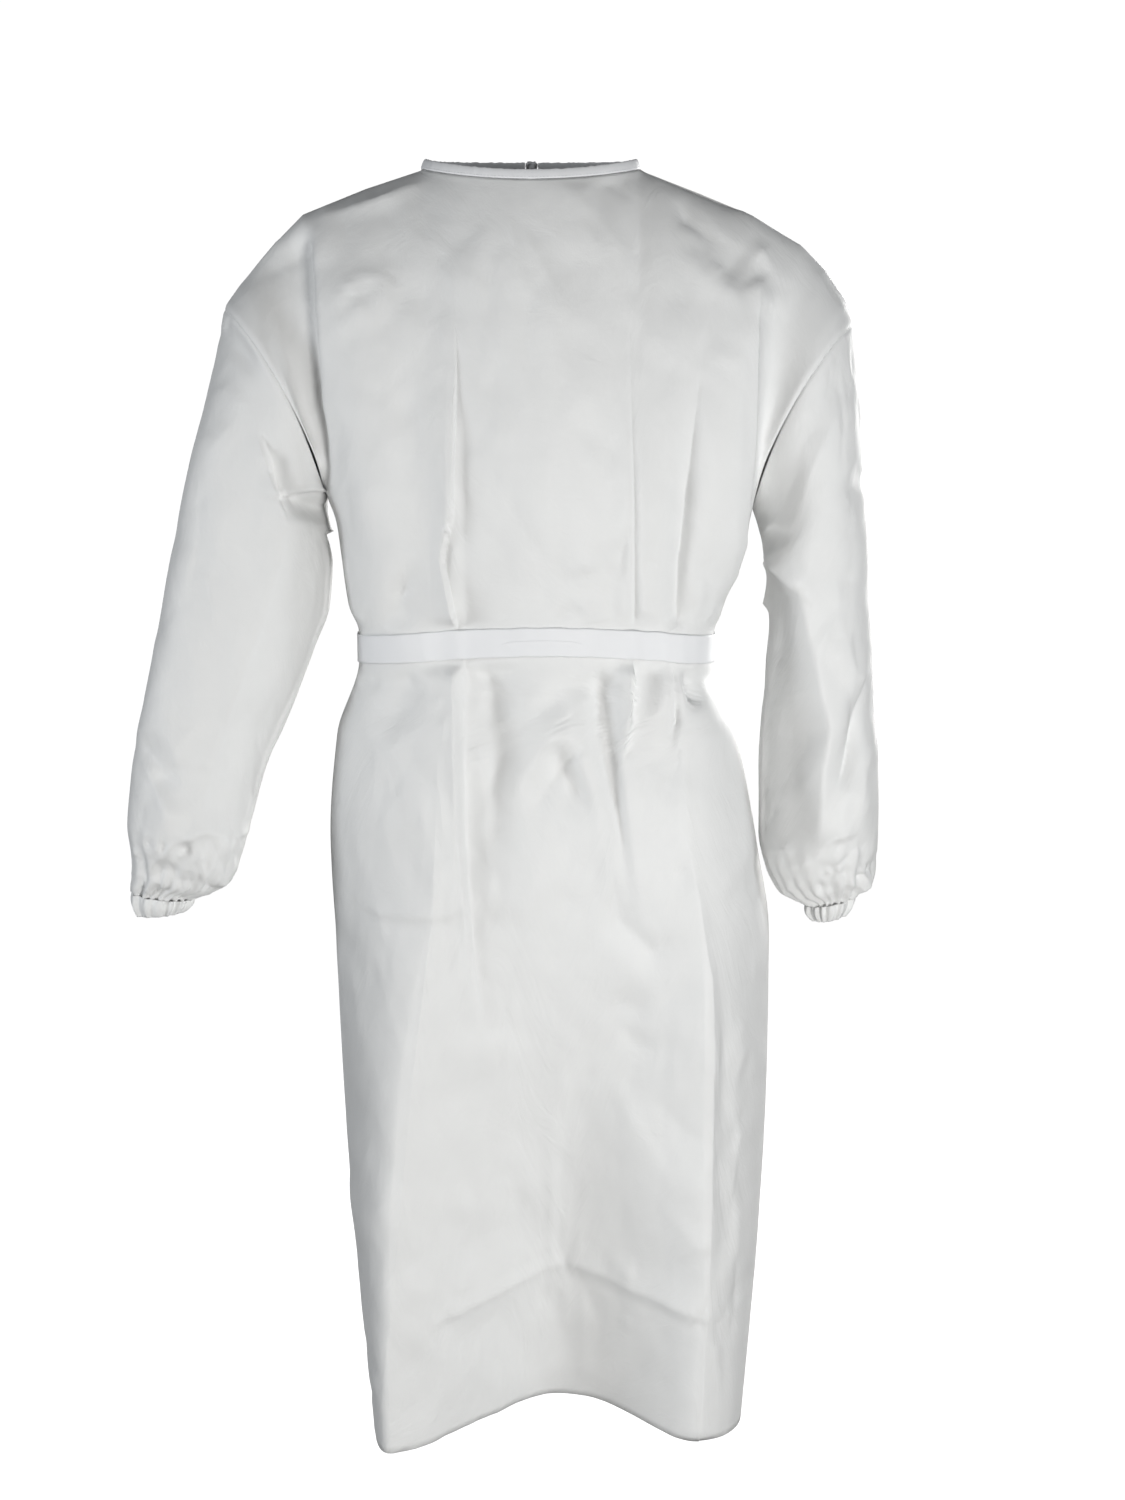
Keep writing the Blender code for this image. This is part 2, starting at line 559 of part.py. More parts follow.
def back_grid(side):
    """Columns from the seam to the free edge: at the neck the two backs only meet."""
    rows = body_rows()
    seam_part = np.linspace(1.0, NECK_U, BACK_SEAM_COLUMNS + 1)
    share = np.linspace(0, 1, BACK_EDGE_COLUMNS + 1)[1:]
    edge_part = NECK_U + (back_edge(rows) - NECK_U)[:, None] * share[None, :]
    across = np.concatenate([np.repeat(seam_part[None], len(rows), axis=0), edge_part], axis=1)
    return across * SIDES[side], np.repeat(rows[:, None], across.shape[1], axis=1)


def lap_lift(u):
    """The left back rises off the right one before the centre line."""
    return LAP_LIFT * smoothstep(*LAP_RISE, u)


def make_front(material):
    u, row = front_grid()
    points, normals = panel(u, row, True)
    cloth_wall("front_panel", points, points - normals * WALL, material)


def make_back(side, material):
    u, row = back_grid(side)
    lift = lap_lift(u) * smoothstep(0, LAP_RISE_ROWS, row) if side == "left" else 0.0
    points, normals = panel(u, row, False, lift)
    cloth_wall("back_panel_" + side, points, points - normals * WALL, material)


def sleeve_columns():
    """Angles round a sleeve: the front rows of the armhole, then the back rows."""
    return np.linspace(0, 2 * math.pi, 2 * ARMHOLE_ROWS + 1)


def tube_points(side, along_rows, gather):
    angle = sleeve_columns()
    rings = [sleeve_ring(side, along, angle) for along in along_rows]
    points = np.array(rings)
    closed = np.concatenate([points[:, -2:-1], points, points[:, 1:2]], axis=1)
    sense = -SIDES[side]
    facing = outward(closed, sense)[:, 1:-1]
    wave = np.where(np.arange(len(angle)) % 2 == 0, 1.0, -1.0)
    pleats = np.array([gather(along) for along in along_rows])[:, None] * wave[None, :]
    return points, facing, pleats, sense


def tube_normals(points, sense):
    closed = np.concatenate([points[:, -2:-1], points, points[:, 1:2]], axis=1)
    return outward(closed, sense)[:, 1:-1]


def sleeve_gather(along):
    return GATHER_DEPTH * float(smoothstep(GATHER_START, SLEEVE_ROWS[-1], np.array(along)))


def make_sleeve(side, material):
    points, facing, pleats, sense = tube_points(side, SLEEVE_ROWS, sleeve_gather)
    front = smoothstep(*FACING_FADE, -facing[..., 1])
    height = fold_height(SLEEVE_FOLDS[side], points[..., 0], points[..., 2]) * front
    height[0] = 0.0
    points = points + facing * (height + pleats)[..., None]
    points[0] += sleeve_way(side) * SEAM_GAP
    normals = tube_normals(points, sense)
    normals[0] = armhole_out(side, sleeve_columns(), -1)
    last = ring_out(points[-1])
    normals[-1] = last
    cloth_wall("sleeve_" + side, points, points - normals * WALL, material, tube=True)
    return points[-1], last


def ring_out(ring):
    """Level outward ways of a ring from its own middle."""
    spread = ring - ring[:-1].mean(axis=0)
    spread[..., 2] = 0.0
    return unit(spread)


def make_cuff(side, seam, out, material):
    """A gathered casing that starts at the sleeve's last ring."""
    angle = sleeve_columns()
    first, last = SLEEVES[side][-1], CUFF_ENDS[side]
    end = sleeve_ring(side, last.along, angle)
    wave = np.where(np.arange(len(angle)) % 2 == 0, 1.0, -1.0)
    end = end + ring_out(end) * (wave * CUFF_GATHER_DEPTH)[:, None]
    start = seam + np.array([0.0, 0.0, -SEAM_GAP])
    share = np.linspace(0, 1, CUFF_LEVELS)[:, None, None]
    points = start + (end - start) * share + out * np.sin(math.pi * share) * CUFF_SWELL
    walls = out * np.ones_like(share)
    cloth_wall("cuff_" + side, points, points - walls * WALL, material, tube=True)


def share_of_turn(x, z):
    """The back's column that holds a place x at a height z."""
    level = level_at(np.array(z, float))
    middle = (level.right + level.left) / 2
    edge = level.left if x > middle else level.right
    turn = math.acos(((x - middle) / (edge - middle)) ** (BACK_ROUND / 2))
    return math.copysign(1 - turn / (math.pi / 2), x - middle)


def neck_ring():
    """The neck edge from the centre back round the wearer's right to the centre back."""
    turn = 2 / math.pi * math.asin(BINDING_END / NECK_HALF_WIDTH)
    back = back_grid("left")[0][0]
    back = back[(back < NECK_U + 1e-9) & (back > NECK_U * turn * END_SPACING)]
    back = np.append(back, NECK_U * turn)
    front = front_grid()[0][0]
    front = front[np.abs(front) < NECK_U - 1e-9]
    return np.concatenate([top_edge(-back[::-1], False), top_edge(front, True),
                           top_edge(back, False)])


def make_neck_binding(material):
    """A strip that stands on the neck edge, open at the centre back."""
    ring = neck_ring()
    out, up = neck_frame(ring)
    share = np.linspace(0, 1, BINDING_LEVELS)[:, None, None]
    rise = SEAM_GAP + (BINDING_HEIGHT - SEAM_GAP) * (1 - share)
    points = ring + up * rise + out * BINDING_SWELL * np.sin(math.pi * share)
    walls = out * np.ones_like(share)
    outer = points + walls * BINDING_PROUD
    cloth_wall("neck_binding", outer, outer - walls * TRIM_WALL, material)


def belt_strip(u, front, lift):
    """Upper and lower points of the belt over one panel, lift off the panel."""
    columns = np.repeat(u[None, :], 2, axis=0)
    plan = front_plan if front else back_plan
    rows = np.array([[BELT_TOP], [BELT_BOTTOM]]) + 0.0 * columns
    points = plan(columns, rows)
    sense = (1 if front else -1) * (1 if u[-1] > u[0] else -1)
    facing = outward(points, sense)
    facing[..., 2] = 0.0
    facing = unit(facing)
    return points + facing * lift[None, :, None], facing


def right_lap(u):
    """The belt climbs onto the outer back before that back's free edge."""
    return LAP_LIFT * smoothstep(*BELT_RISE, u)


def make_waist_belt(material):
    """A flat strip from the waist knot round the body and back to it."""
    front_u = front_grid()[0][0]
    columns = BACK_SEAM_COLUMNS + BACK_EDGE_COLUMNS + 1
    left_u = np.linspace(1.0, share_of_turn(BELT_END, BELT_TOP), columns)
    right_u = np.linspace(share_of_turn(-BELT_END, BELT_TOP), -1.0, columns)
    front, front_out = belt_strip(front_u, True, np.full(front_u.shape, BELT_CLEAR))
    left, left_out = belt_strip(left_u, False, BELT_BACK_CLEAR + lap_lift(left_u))
    right, right_out = belt_strip(right_u, False, BELT_BACK_CLEAR + right_lap(right_u))
    points = np.concatenate([right[:, :-1], front, left[:, 1:]], axis=1)
    out = np.concatenate([right_out[:, :-1], front_out, left_out[:, 1:]], axis=1)
    cloth_wall("waist_belt", points + out * TRIM_WALL, points, material)


def on_back(x, row):
    """A place of the outer back at x and a row, with the lap's lift."""
    low, high = np.full_like(x, -NECK_U), np.full_like(x, NECK_U)
    for _ in range(40):
        middle = (low + high) / 2
        short = body_point(middle, row, False)[..., 0] < x
        low, high = np.where(short, middle, low), np.where(short, high, middle)
    points = body_point(middle, row, False)
    points[..., 1] += SEAM_GAP / 2
    return points


def make_tie(name, rows, places, width, material):
    """A free end that hangs down the back from its knot."""
    middle = places[0] + (places[1] - places[0]) * smoothstep(0, 1, np.linspace(0, 1, TIE_LEVELS))
    x = middle[:, None] + np.linspace(width / 2, -width / 2, 3)[None, :]
    row = np.repeat(np.linspace(rows[0], rows[1], TIE_LEVELS)[:, None], 3, axis=1)
    points = on_back(x, row)
    facing = outward(points, 1)
    lift = LAP_LIFT * smoothstep(0, LAP_RISE_ROWS, row) + TIE_CLEAR
    points = points + facing * lift[..., None]
    cloth_wall(name, points + facing * TIE_WALL, points, material)


def make_knot(name, middle, size, material):
    """A knot, drawn up flat against the back."""
    mesh = bmesh.new()
    bmesh.ops.create_cube(mesh, size=1.0)
    bmesh.ops.subdivide_edges(mesh, edges=mesh.edges[:], cuts=2, use_grid_fill=True)
    for vertex in mesh.verts:
        full = np.array(vertex.co[:]) * 2
        rounded = full * (1 - KNOT_ROUND * ((full ** 2).sum() - (full ** 2).max()) / 2)
        vertex.co = (rounded * np.array(size) / 2 + np.array(middle)) * MM
    bmesh.ops.recalc_face_normals(mesh, faces=mesh.faces[:])
    data = bpy.data.meshes.new(name)
    mesh.to_mesh(data)
    mesh.free()
    data.shade_smooth()
    data.materials.append(material)
    thing = bpy.data.objects.new(name, data)
    bpy.context.scene.collection.objects.link(thing)


def make_neck_closure(material):
    """The binding's two ends, knotted at the centre back."""
    half = NECK_KNOT[1] / 2
    base = SEAM_GAP + NECK_KNOT_RISE - NECK_BACK_DROP
    middle = (0.0, NECK_BACK_REACH + half - NECK_KNOT_SET, base + NECK_KNOT[2] / 2)
    make_knot("neck_knot", middle, NECK_KNOT, material)
    for side, sign in SIDES.items():
        places = [sign * x for x in NECK_TIE_X]
        make_tie("neck_tie_" + side, NECK_TIE_ROWS, places, BINDING_HEIGHT, material)


def make_waist_closure(material):
    """The belt's two ends, knotted at the centre back."""
    level = level_at((BELT_TOP + BELT_BOTTOM) / 2)
    base = level.back + LAP_LIFT + WAIST_KNOT_CLEAR
    z = float(belt_middle(np.zeros(1), False)[0])
    make_knot("waist_knot", (0.0, base + WAIST_KNOT[1] / 2, z), WAIST_KNOT, material)
    for side, sign in SIDES.items():
        places = [sign * x for x in WAIST_TIE_X]
        make_tie("waist_tie_" + side, WAIST_TIE_ROWS, places, WAIST_TIE_WIDTH, material)


def clear_scene():
    for thing in list(bpy.data.objects):
        bpy.data.objects.remove(thing, do_unlink=True)


def main():
    clear_scene()
    cloth = new_material("coated_nonwoven", PAPER_WHITE, 0.55)
    trim = new_material("belt_nonwoven", BELT_WHITE, 0.55)
    make_front(cloth)
    for side in SIDES:
        make_back(side, cloth)
        seam, out = make_sleeve(side, cloth)
        make_cuff(side, seam, out, cloth)
    make_neck_binding(trim)
    make_waist_belt(trim)
    make_neck_closure(trim)
    make_waist_closure(trim)


main()
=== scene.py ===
"""Isolation gown: the cloth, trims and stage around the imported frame.

The frame is in metres, and so are the settings, the walls and the stage. The other numbers
here are in millimetres, x to the wearer's left, z up and -y to the front, with the origin
between the high shoulder points.
"""
from collections import namedtuple
import math

import bmesh
import bpy
import numpy as np
from bpy.props import FloatProperty, FloatVectorProperty, IntProperty, PointerProperty
from mathutils import Matrix, Vector


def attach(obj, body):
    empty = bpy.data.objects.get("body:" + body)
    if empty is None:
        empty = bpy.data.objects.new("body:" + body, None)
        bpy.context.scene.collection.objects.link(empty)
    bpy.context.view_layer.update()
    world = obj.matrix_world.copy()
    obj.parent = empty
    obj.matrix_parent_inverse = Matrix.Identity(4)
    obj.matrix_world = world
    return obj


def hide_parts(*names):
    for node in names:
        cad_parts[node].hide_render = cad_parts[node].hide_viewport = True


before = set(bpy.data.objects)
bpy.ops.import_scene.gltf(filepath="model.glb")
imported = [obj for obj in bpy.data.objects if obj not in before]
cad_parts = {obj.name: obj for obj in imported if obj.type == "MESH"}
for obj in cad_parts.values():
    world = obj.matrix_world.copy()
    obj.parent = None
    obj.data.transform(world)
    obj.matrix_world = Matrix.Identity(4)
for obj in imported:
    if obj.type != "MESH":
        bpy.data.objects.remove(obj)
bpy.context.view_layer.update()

bl_info = {
    "name": "Isolation gown",
    "version": (1, 0, 0),
    "blender": (4, 5, 0),
    "location": "3D View > Sidebar > Gown",
    "description": "Builds the cloth, the trims and the stage of an isolation gown",
    "category": "Object",
}

MM = 0.001
SEED = 41

# Form of the gown, as in its solids
NECK_HALF_WIDTH = 95.0
NECK_FRONT_REACH = 73.0
NECK_BACK_REACH = 60.0
NECK_SIDE_DROP = 8.0
NECK_FRONT_DROP = 23.0
NECK_BACK_DROP = 5.0
NECK_DROP_POWER = 1.5
NECK_LEAN = 0.45
NECK_STRETCH = 1.4
BELT_TOP = -411.0
BELT_BOTTOM = -435.5
BELT_END = 14.0
GRIP_START = 1.0
GRIP_END = 16.0
NECK_EDGE_U = 0.016
LAP_U = 0.29
LAP_END_ROW = 16.0
LAP_LIFT = 4.4
LAP_RISE = (0.62, 0.36)
BELT_RISE = (-0.56, -0.38)
LAP_RISE_ROWS = 3.0
WAIST_TIE_ROWS = (17.86, 26.0)
WAIST_TIE_X = (8.5, 27.0)
TIE_OVER_BELT = 2.0
NECK_TIE_ROWS = (0.04, 7.0)
NECK_TIE_X = (5.6, 15.0)
WAIST_KNOT = (27.4, 11.0, 28.0)
NECK_KNOT = (11.4, 7.0, 10.0)
NECK_U = 0.35
RIDGE_U = 0.45
ARMHOLE_ROWS = 12
BODY_ROWS = (-294, -318, -342, -366, -390, BELT_TOP, BELT_BOTTOM, -452, -472, -502, -540, -590,
             -640, -695, -755, -820, -885, -945, -985, -1008, -1060, -1120)
ARM_U = 0.6
ARM_POWER = 4.0
FOLD_ROWS = 1.5
FOLD_U = 0.86
HOLLOW_POWER = 1.6
BACK_ROUND = 2.2

Level = namedtuple("Level", "z right left ridge_right ridge_left fall_right fall_left "
                            "fall_middle back round lean lift arch")
LEVELS = (
    Level(-294, -180, 194, -104, 112, 116, 118, 134, 118, 2.30, 1.00, 0, 0),
    Level(-318, -171, 187, -101, 112, 113, 115, 131, 115, 2.25, 1.00, 1, 0),
    Level(-345, -167, 181, -98, 112, 110, 112, 127, 112, 2.20, 1.00, 3, 0),
    Level(-385, -161, 170, -92, 112, 105, 106, 120, 108, 2.15, 1.00, 8, 0),
    Level(BELT_TOP, -152, 161, -88, 112, 102, 102, 116, 106, 2.10, 1.00, 11, 0),
    Level(BELT_BOTTOM, -152, 160, -84, 113, 103, 103, 115, 106, 2.00, 1.00, 11, 0),
    Level(-500, -172, 181, -76, 123, 116, 115, 122, 120, 1.90, 1.00, 8, 0),
    Level(-590, -179, 199, -74, 134, 128, 125, 126, 132, 1.70, 1.05, 4, 0),
    Level(-680, -175, 212, -92, 146, 131, 124, 117, 138, 1.60, 1.10, 2, 2),
    Level(-800, -170, 211, -112, 150, 131, 115, 96, 140, 1.60, 1.14, 0, 7),
    Level(-950, -160, 204, -121, 150, 125, 102, 62, 142, 1.80, 1.16, 0, 14),
    Level(-1120, -143, 190, -122, 143, 117, 85, 26, 144, 2.30, 1.16, 0, 22),
)
Shoulder = namedtuple("Shoulder", "u x z")
SHOULDERS = {
    "right": (Shoulder(0.350, -95, -8), Shoulder(0.503, -144, -24), Shoulder(0.680, -199, -46),
              Shoulder(0.782, -223, -70), Shoulder(0.927, -254, -108), Shoulder(1.0, -268, -128)),
    "left": (Shoulder(0.350, 95, -8), Shoulder(0.499, 147, -28), Shoulder(0.635, 193, -47),
             Shoulder(0.767, 235, -72), Shoulder(0.854, 257, -95), Shoulder(0.942, 275, -122),
             Shoulder(1.0, 282, -142)),
}
Ring = namedtuple("Ring", "along out_x out_z in_x in_z fore aft mid crest round bow",
                  defaults=(0.0, 2.0, 0))
SLEEVES = {
    "right": (
        Ring(0, -268, -128, -180, -289, 78, 78, 0, 0.00, 2.0, 16),
        Ring(60, -281, -190, -180, -316, 74, 72, 0, 0.00, 2.0, 7),
        Ring(125, -297, -255, -176, -350, 69, 67, -3, 0.05),
        Ring(190, -312, -321, -178, -385, 64, 62, -6, 0.08),
        Ring(250, -324, -383, -192, -425, 60, 58, -9, 0.10),
        Ring(330, -340, -465, -212, -478, 57, 55, -13, 0.10),
        Ring(400, -352, -530, -233, -528, 55, 52, -17, 0.05),
        Ring(450, -356, -576, -247, -573, 51, 50, -20),
        Ring(488, -353, -607, -258, -610, 46, 46, -22),
        Ring(513, -352, -627, -273, -635, 39, 39, -23),
        Ring(533, -353, -640, -300, -646, 28, 28, -24),
    ),
    "left": (
        Ring(0, 282, -142, 194, -299, 78, 78, 0, 0.00, 2.0, 16),
        Ring(60, 287, -190, 202, -322, 78, 74, 0, 0.00, 1.9, 7),
        Ring(125, 292, -255, 209, -350, 76, 70, -3, -0.15, 1.6),
        Ring(190, 295, -320, 212, -388, 73, 68, -6, -0.30, 1.5),
        Ring(250, 298, -385, 209, -430, 71, 66, -8, -0.20, 1.5),
        Ring(330, 302, -460, 205, -483, 68, 63, -12, -0.05, 1.5),
        Ring(400, 306, -535, 201, -545, 64, 60, -16, 0.05, 1.6),
        Ring(450, 306, -584, 201, -586, 58, 56, -19, 0.05, 1.7),
        Ring(488, 305, -614, 208, -618, 50, 50, -21, 0.00, 1.9),
        Ring(513, 301, -631, 222, -640, 40, 40, -22),
        Ring(533, 286, -643, 244, -652, 28, 28, -23),
    ),
}
CUFF_ENDS = {
    "right": Ring(547, -349, -660, -308, -657, 26, 26, -24),
    "left": Ring(547, 278, -659, 249, -665, 26, 26, -23),
}
BOW_POWER = 1.6
SLEEVE_END = 533.0
GATHER_START = 440.0
# How far a sleeve has to face the front or the back for its creases and for its crumple
FACING_FADE = (-0.2, 0.4)
EVEN_FADE = (-0.2, 0.7)

# Large folds: a straight crest or trough from a start to an end, its height along the
# cloth's normal, its widths on its two sides, the share of its length over which it fades
# in and out, and how crisp it is.
Fold = namedtuple("Fold", "x0 z0 x1 z1 height before after fade_in fade_out crisp")
FRONT_FOLDS = (
    Fold(-201, -50, -184, -286, -17, 56, 15, 0.12, 0.18, 0.3),
    Fold(-70, -160, -66, -405, 7, 42, 14, 0.55, 0.01, 0.5),
    Fold(82, -165, 87, -405, 6, 16, 36, 0.50, 0.01, 0.5),
    Fold(140, -180, 122, -405, -6, 20, 22, 0.45, 0.01, 0.3),
    Fold(178, -100, 165, -385, 7, 24, 30, 0.20, 0.20, 0.4),
    Fold(-99, -340, -110, -405, -8, 22, 22, 0.60, 0.02, 0.3),
    Fold(127, -66, 186, -106, -6, 22, 22, 0.40, 0.30, 0.4),
    Fold(186, -106, 206, -140, 6, 18, 22, 0.25, 0.50, 0.4),
    Fold(-172, -156, -133, -124, 4, 18, 18, 0.40, 0.30, 0.5),
    Fold(-64, -430, -66, -600, 9, 40, 24, 0.02, 0.60, 0.6),
    Fold(-34, -430, -24, -640, -7, 14, 44, 0.02, 0.60, 0.2),
    Fold(58, -438, 82, -600, -9, 24, 18, 0.05, 0.60, 0.3),
    Fold(84, -430, 82, -510, 7, 12, 16, 0.02, 0.70, 0.6),
    Fold(121, -430, 117, -505, 5, 16, 16, 0.02, 0.70, 0.5),
    Fold(136, -430, 156, -480, -7, 18, 24, 0.02, 0.60, 0.4),
    Fold(-97, -436, -146, -520, -6, 26, 26, 0.15, 0.60, 0.2),
    Fold(18, -492, 54, -552, -7, 26, 22, 0.30, 0.40, 0.4),
    Fold(148, -640, 151, -1120, 5, 34, 20, 0.25, 0.01, 0.7),
    Fold(60, -780, 146, -916, 5, 42, 30, 0.40, 0.30, 0.3),
    Fold(64, -714, 104, -740, -4, 24, 24, 0.40, 0.40, 0.4),
    Fold(-76, -1004, 30, -968, 3, 26, 14, 0.10, 0.05, 0.8),
    Fold(30, -968, 150, -1001, 3, 14, 26, 0.05, 0.10, 0.8),
)
BACK_FOLDS = (
    Fold(-120, -150, -104, -405, 7, 30, 26, 0.50, 0.01, 0.4),
    Fold(112, -140, 106, -405, 8, 26, 34, 0.50, 0.01, 0.4),
    Fold(-146, -330, -138, -405, -6, 18, 18, 0.50, 0.02, 0.3),
    Fold(-92, -440, -104, -650, 9, 24, 30, 0.02, 0.60, 0.4),
    Fold(-128, -440, -150, -560, -7, 18, 18, 0.05, 0.60, 0.3),
    Fold(90, -440, 110, -700, 9, 26, 24, 0.02, 0.60, 0.4),
    Fold(124, -440, 138, -540, -7, 16, 18, 0.05, 0.60, 0.3),
    Fold(-110, -760, -118, -1120, 6, 50, 44, 0.30, 0.01, 0.3),
    Fold(122, -720, 128, -1120, 7, 46, 50, 0.30, 0.01, 0.3),
)
SLEEVE_FOLDS = {
    "right": (
        Fold(-262, -136, -218, -184, -8, 26, 24, 0.05, 0.50, 0.4),
        Fold(-224, -252, -200, -300, -6, 18, 20, 0.30, 0.30, 0.4),
        Fold(-210, -292, -170, -300, -10, 20, 8, 0.35, 0.05, 0.4),
        Fold(-346, -495, -308, -548, -6, 24, 24, 0.30, 0.30, 0.4),
        Fold(-310, -546, -326, -612, 6, 22, 22, 0.30, 0.40, 0.5),
    ),
    "left": (
        Fold(206, -330, 236, -372, 5, 16, 12, 0.30, 0.20, 0.5),
        Fold(292, -450, 262, -552, -6, 22, 22, 0.30, 0.30, 0.4),
        Fold(300, -270, 262, -300, -5, 20, 22, 0.20, 0.50, 0.3),
    ),
}
SIDES = {"right": -1, "left": 1}

# Fine relief of the cloth
CREASE_RISE = 2.5
CREASE_REACH = 1.8
CREASE_CRISP = 0.85
BELT_CREASES = 0.15
SIDE_FADE = 26.0
TOP_FADE = 14.0
FAR = 100.0
SEAM_GROOVE = 1.3
SEAM_GROOVE_WIDTH = 2.6
ALLOWANCE = 0.45
ALLOWANCE_END = (7.5, 10.5)
# Pitch and height of the crumple's fields. A height below zero gives ridges, one above it
# grooves. CRUMPLE_EVEN is the share of the crumple that is the same all over.
CRUMPLE = ((140.0, -1.9), (66.0, 0.85), (30.0, -0.3))
CRUMPLE_WAVES = 12
CRUMPLE_TURN = 0.7
CRUMPLE_DEPTH = 0.9
CRUMPLE_EVEN = 0.62

# Grids of the pieces
# The rows of a panel are spaced along its column ROW_U
ROW_SAMPLES = 4000
ROW_U = 0.2
COLUMN_SAMPLES = 900
COLUMN_SMOOTHING = 6
GUIDE_PULL = 3.6
GUIDE_WIDTH = 7.0
GUIDE_FADE = 60.0
SEAM_PULL = 2.4
SEAM_WIDTH = 5.0
# Heights where the rows crowd together: place, width and pull
ROW_STOPS = ((-30, 26, 0.7), (-350, 40, 0.6), (-400, 22, 1.2), (-450, 30, 1.0), (-520, 50, 0.7),
             (-643, 10, 1.2), (-990, 30, 1.1), (-1118, 5, 1.0))
BACK_ROWS = 190
BACK_COLUMNS = 132
SLEEVE_SAMPLES = 2000
SLEEVE_ROWS = 196
SLEEVE_COLUMNS = 177
ARMHOLE_PULL = 2.0
ARMHOLE_PULL_WIDTH = 8.0
GATHER_PULL = 1.2
GATHER_PULL_END = 500.0
CUFF_ROWS = 22
CUFF_COLUMNS = 161
BINDING_COLUMNS = 29
BELT_LEVELS = 15
BELT_FRONT_COLUMNS = 261
BELT_BACK_COLUMNS = 150
TIE_LEVELS = 90
TIE_COLUMNS = 13
KNOT_ROWS = 41
KNOT_COLUMNS = 65

# Sleeves and cuffs
SLEEVE_FLATTER = 0.8
FLATTER_START = (30, 140)
FLATTER_END = (520, 430)
SLEEVE_TOP_FADE = 24.0
REAR_SHIFT = 37.0
GATHER_WAVES = 9
GATHER_DEPTH = 4.0
CUFF_WALL = 0.0008
CUFF_SWELL = 2.4
CUFF_WAVE = 3.6
CUFF_CRIMP = 1.2
# Fold lines of the sleeves in the front view: the inner side turns away beyond them
SLEEVE_TURN = {
    "left": ((200, -326), (218, -350), (232, -372), (238, -412), (245, -436), (250, -462),
             (256, -492), (252, -536), (250, -568), (248, -610)),
    "right": ((-205, -300), (-214, -340), (-232, -400), (-262, -480), (-280, -540), (-290, -590)),
}
TURN_DEPTH = 26.0
TURN_SLOPE = 0.75
TURN_SOFTNESS = 2.0

# Trims
BINDING_GAP = 6.0
BINDING_OFF = 0.1
BINDING_HALF = 1.0
BELT_OFF_FRONT = 0.9
BELT_OFF_BACK = 1.1
BELT_FRONT_Y = -40.0
BELT_RIPPLE = 0.28
BELT_WAVE = 0.3
# Where the folds push the belt out in front: place, width and height
BELT_LUMPS = ((-61, 7, 1.5), (88, 6, 1.1), (128, 5, 0.7), (-112, 8, 0.6))
WELD_DEPTH = 0.5
TIE_WALL = 0.0005
WAIST_TIE_WIDTH = 22.0
NECK_TIE_WIDTH = 9.0
TIE_OFF = 1.2
TIE_SWAY = 1.2
TIE_PINCH = 0.45
TIE_WAVE = 0.7
TIE_CURL = 0.9
TIE_TWIST = 0.5
KNOT_SQUARE = (0.62, 0.8, 0.68)
WAIST_KNOT_OFF = 0.2
NECK_KNOT_RISE = 0.6
NECK_KNOT_SUNK = 1.6
# Pitch and length of the stitches, and where the belt's stitches start and end
BINDING_STITCH = (3.2, 2.5)
BELT_STITCH = (1.9, 1.6)
BELT_STITCH_X = (-24, 45)
EMBOSS_PITCH = 1.4
ROUGHNESS_SPREAD = 0.06

# Stage, in metres: the floor's reach and wall, and the lamps with place, aim, size and colour
FLOOR_REACH = 4.2
WALL_BEND = 1.6
WALL_HEIGHT = 6.0
COOL = (0.94, 0.97, 1.0)
PLAIN = (1.0, 0.995, 0.98)
LAMPS = (
    ("front", (0.7, -2.3, -0.8), (0.0, 0.0, -0.65), 0.4, PLAIN),
    ("left", (-2.3, -0.8, 0.0), (0.0, 0.0, -0.5), 0.8, COOL),
    ("right", (1.5, -1.0, 0.1), (0.2, 0.0, -0.35), 0.6, COOL),
    ("back", (1.3, 2.6, 0.0), (0.0, 0.0, -0.6), 1.2, PLAIN),
)


def smoothstep(low, high, value):
    share = np.clip((value - low) / (high - low), 0.0, 1.0)
    return share * share * (3.0 - 2.0 * share)


def through(places, values, at):
    """Smooth curve through the values, without overshoot (monotone cubic)."""
    places = np.asarray(places, float)
    values = np.asarray(values, float)
    if places[0] > places[-1]:
        places, values = places[::-1], values[::-1]
    step = np.diff(places)
    slope = np.diff(values) / step
    tangent = np.zeros_like(values)
    same = slope[:-1] * slope[1:] > 0
    tangent[1:-1][same] = 2 * slope[:-1][same] * slope[1:][same] / (slope[:-1] + slope[1:])[same]
    tangent[0], tangent[-1] = slope[0], slope[-1]
    at = np.clip(at, places[0], places[-1])
    cell = np.clip(np.searchsorted(places, at) - 1, 0, len(step) - 1)
    t = (at - places[cell]) / step[cell]
    return (values[cell] * (1 + 2 * t) * (1 - t) ** 2 + values[cell + 1] * t * t * (3 - 2 * t)
            + step[cell] * t * (1 - t) * (tangent[cell] * (1 - t) - tangent[cell + 1] * t))


def table_column(table, name):
    return np.array([getattr(row, name) for row in table], float)


def level_at(z):
    heights = table_column(LEVELS, "z")
    return Level(*[through(heights, table_column(LEVELS, name), z) for name in Level._fields])


def ring_at(table, along):
    places = table_column(table, "along")
    return Ring(*[through(places, table_column(table, name), along) for name in Ring._fields])


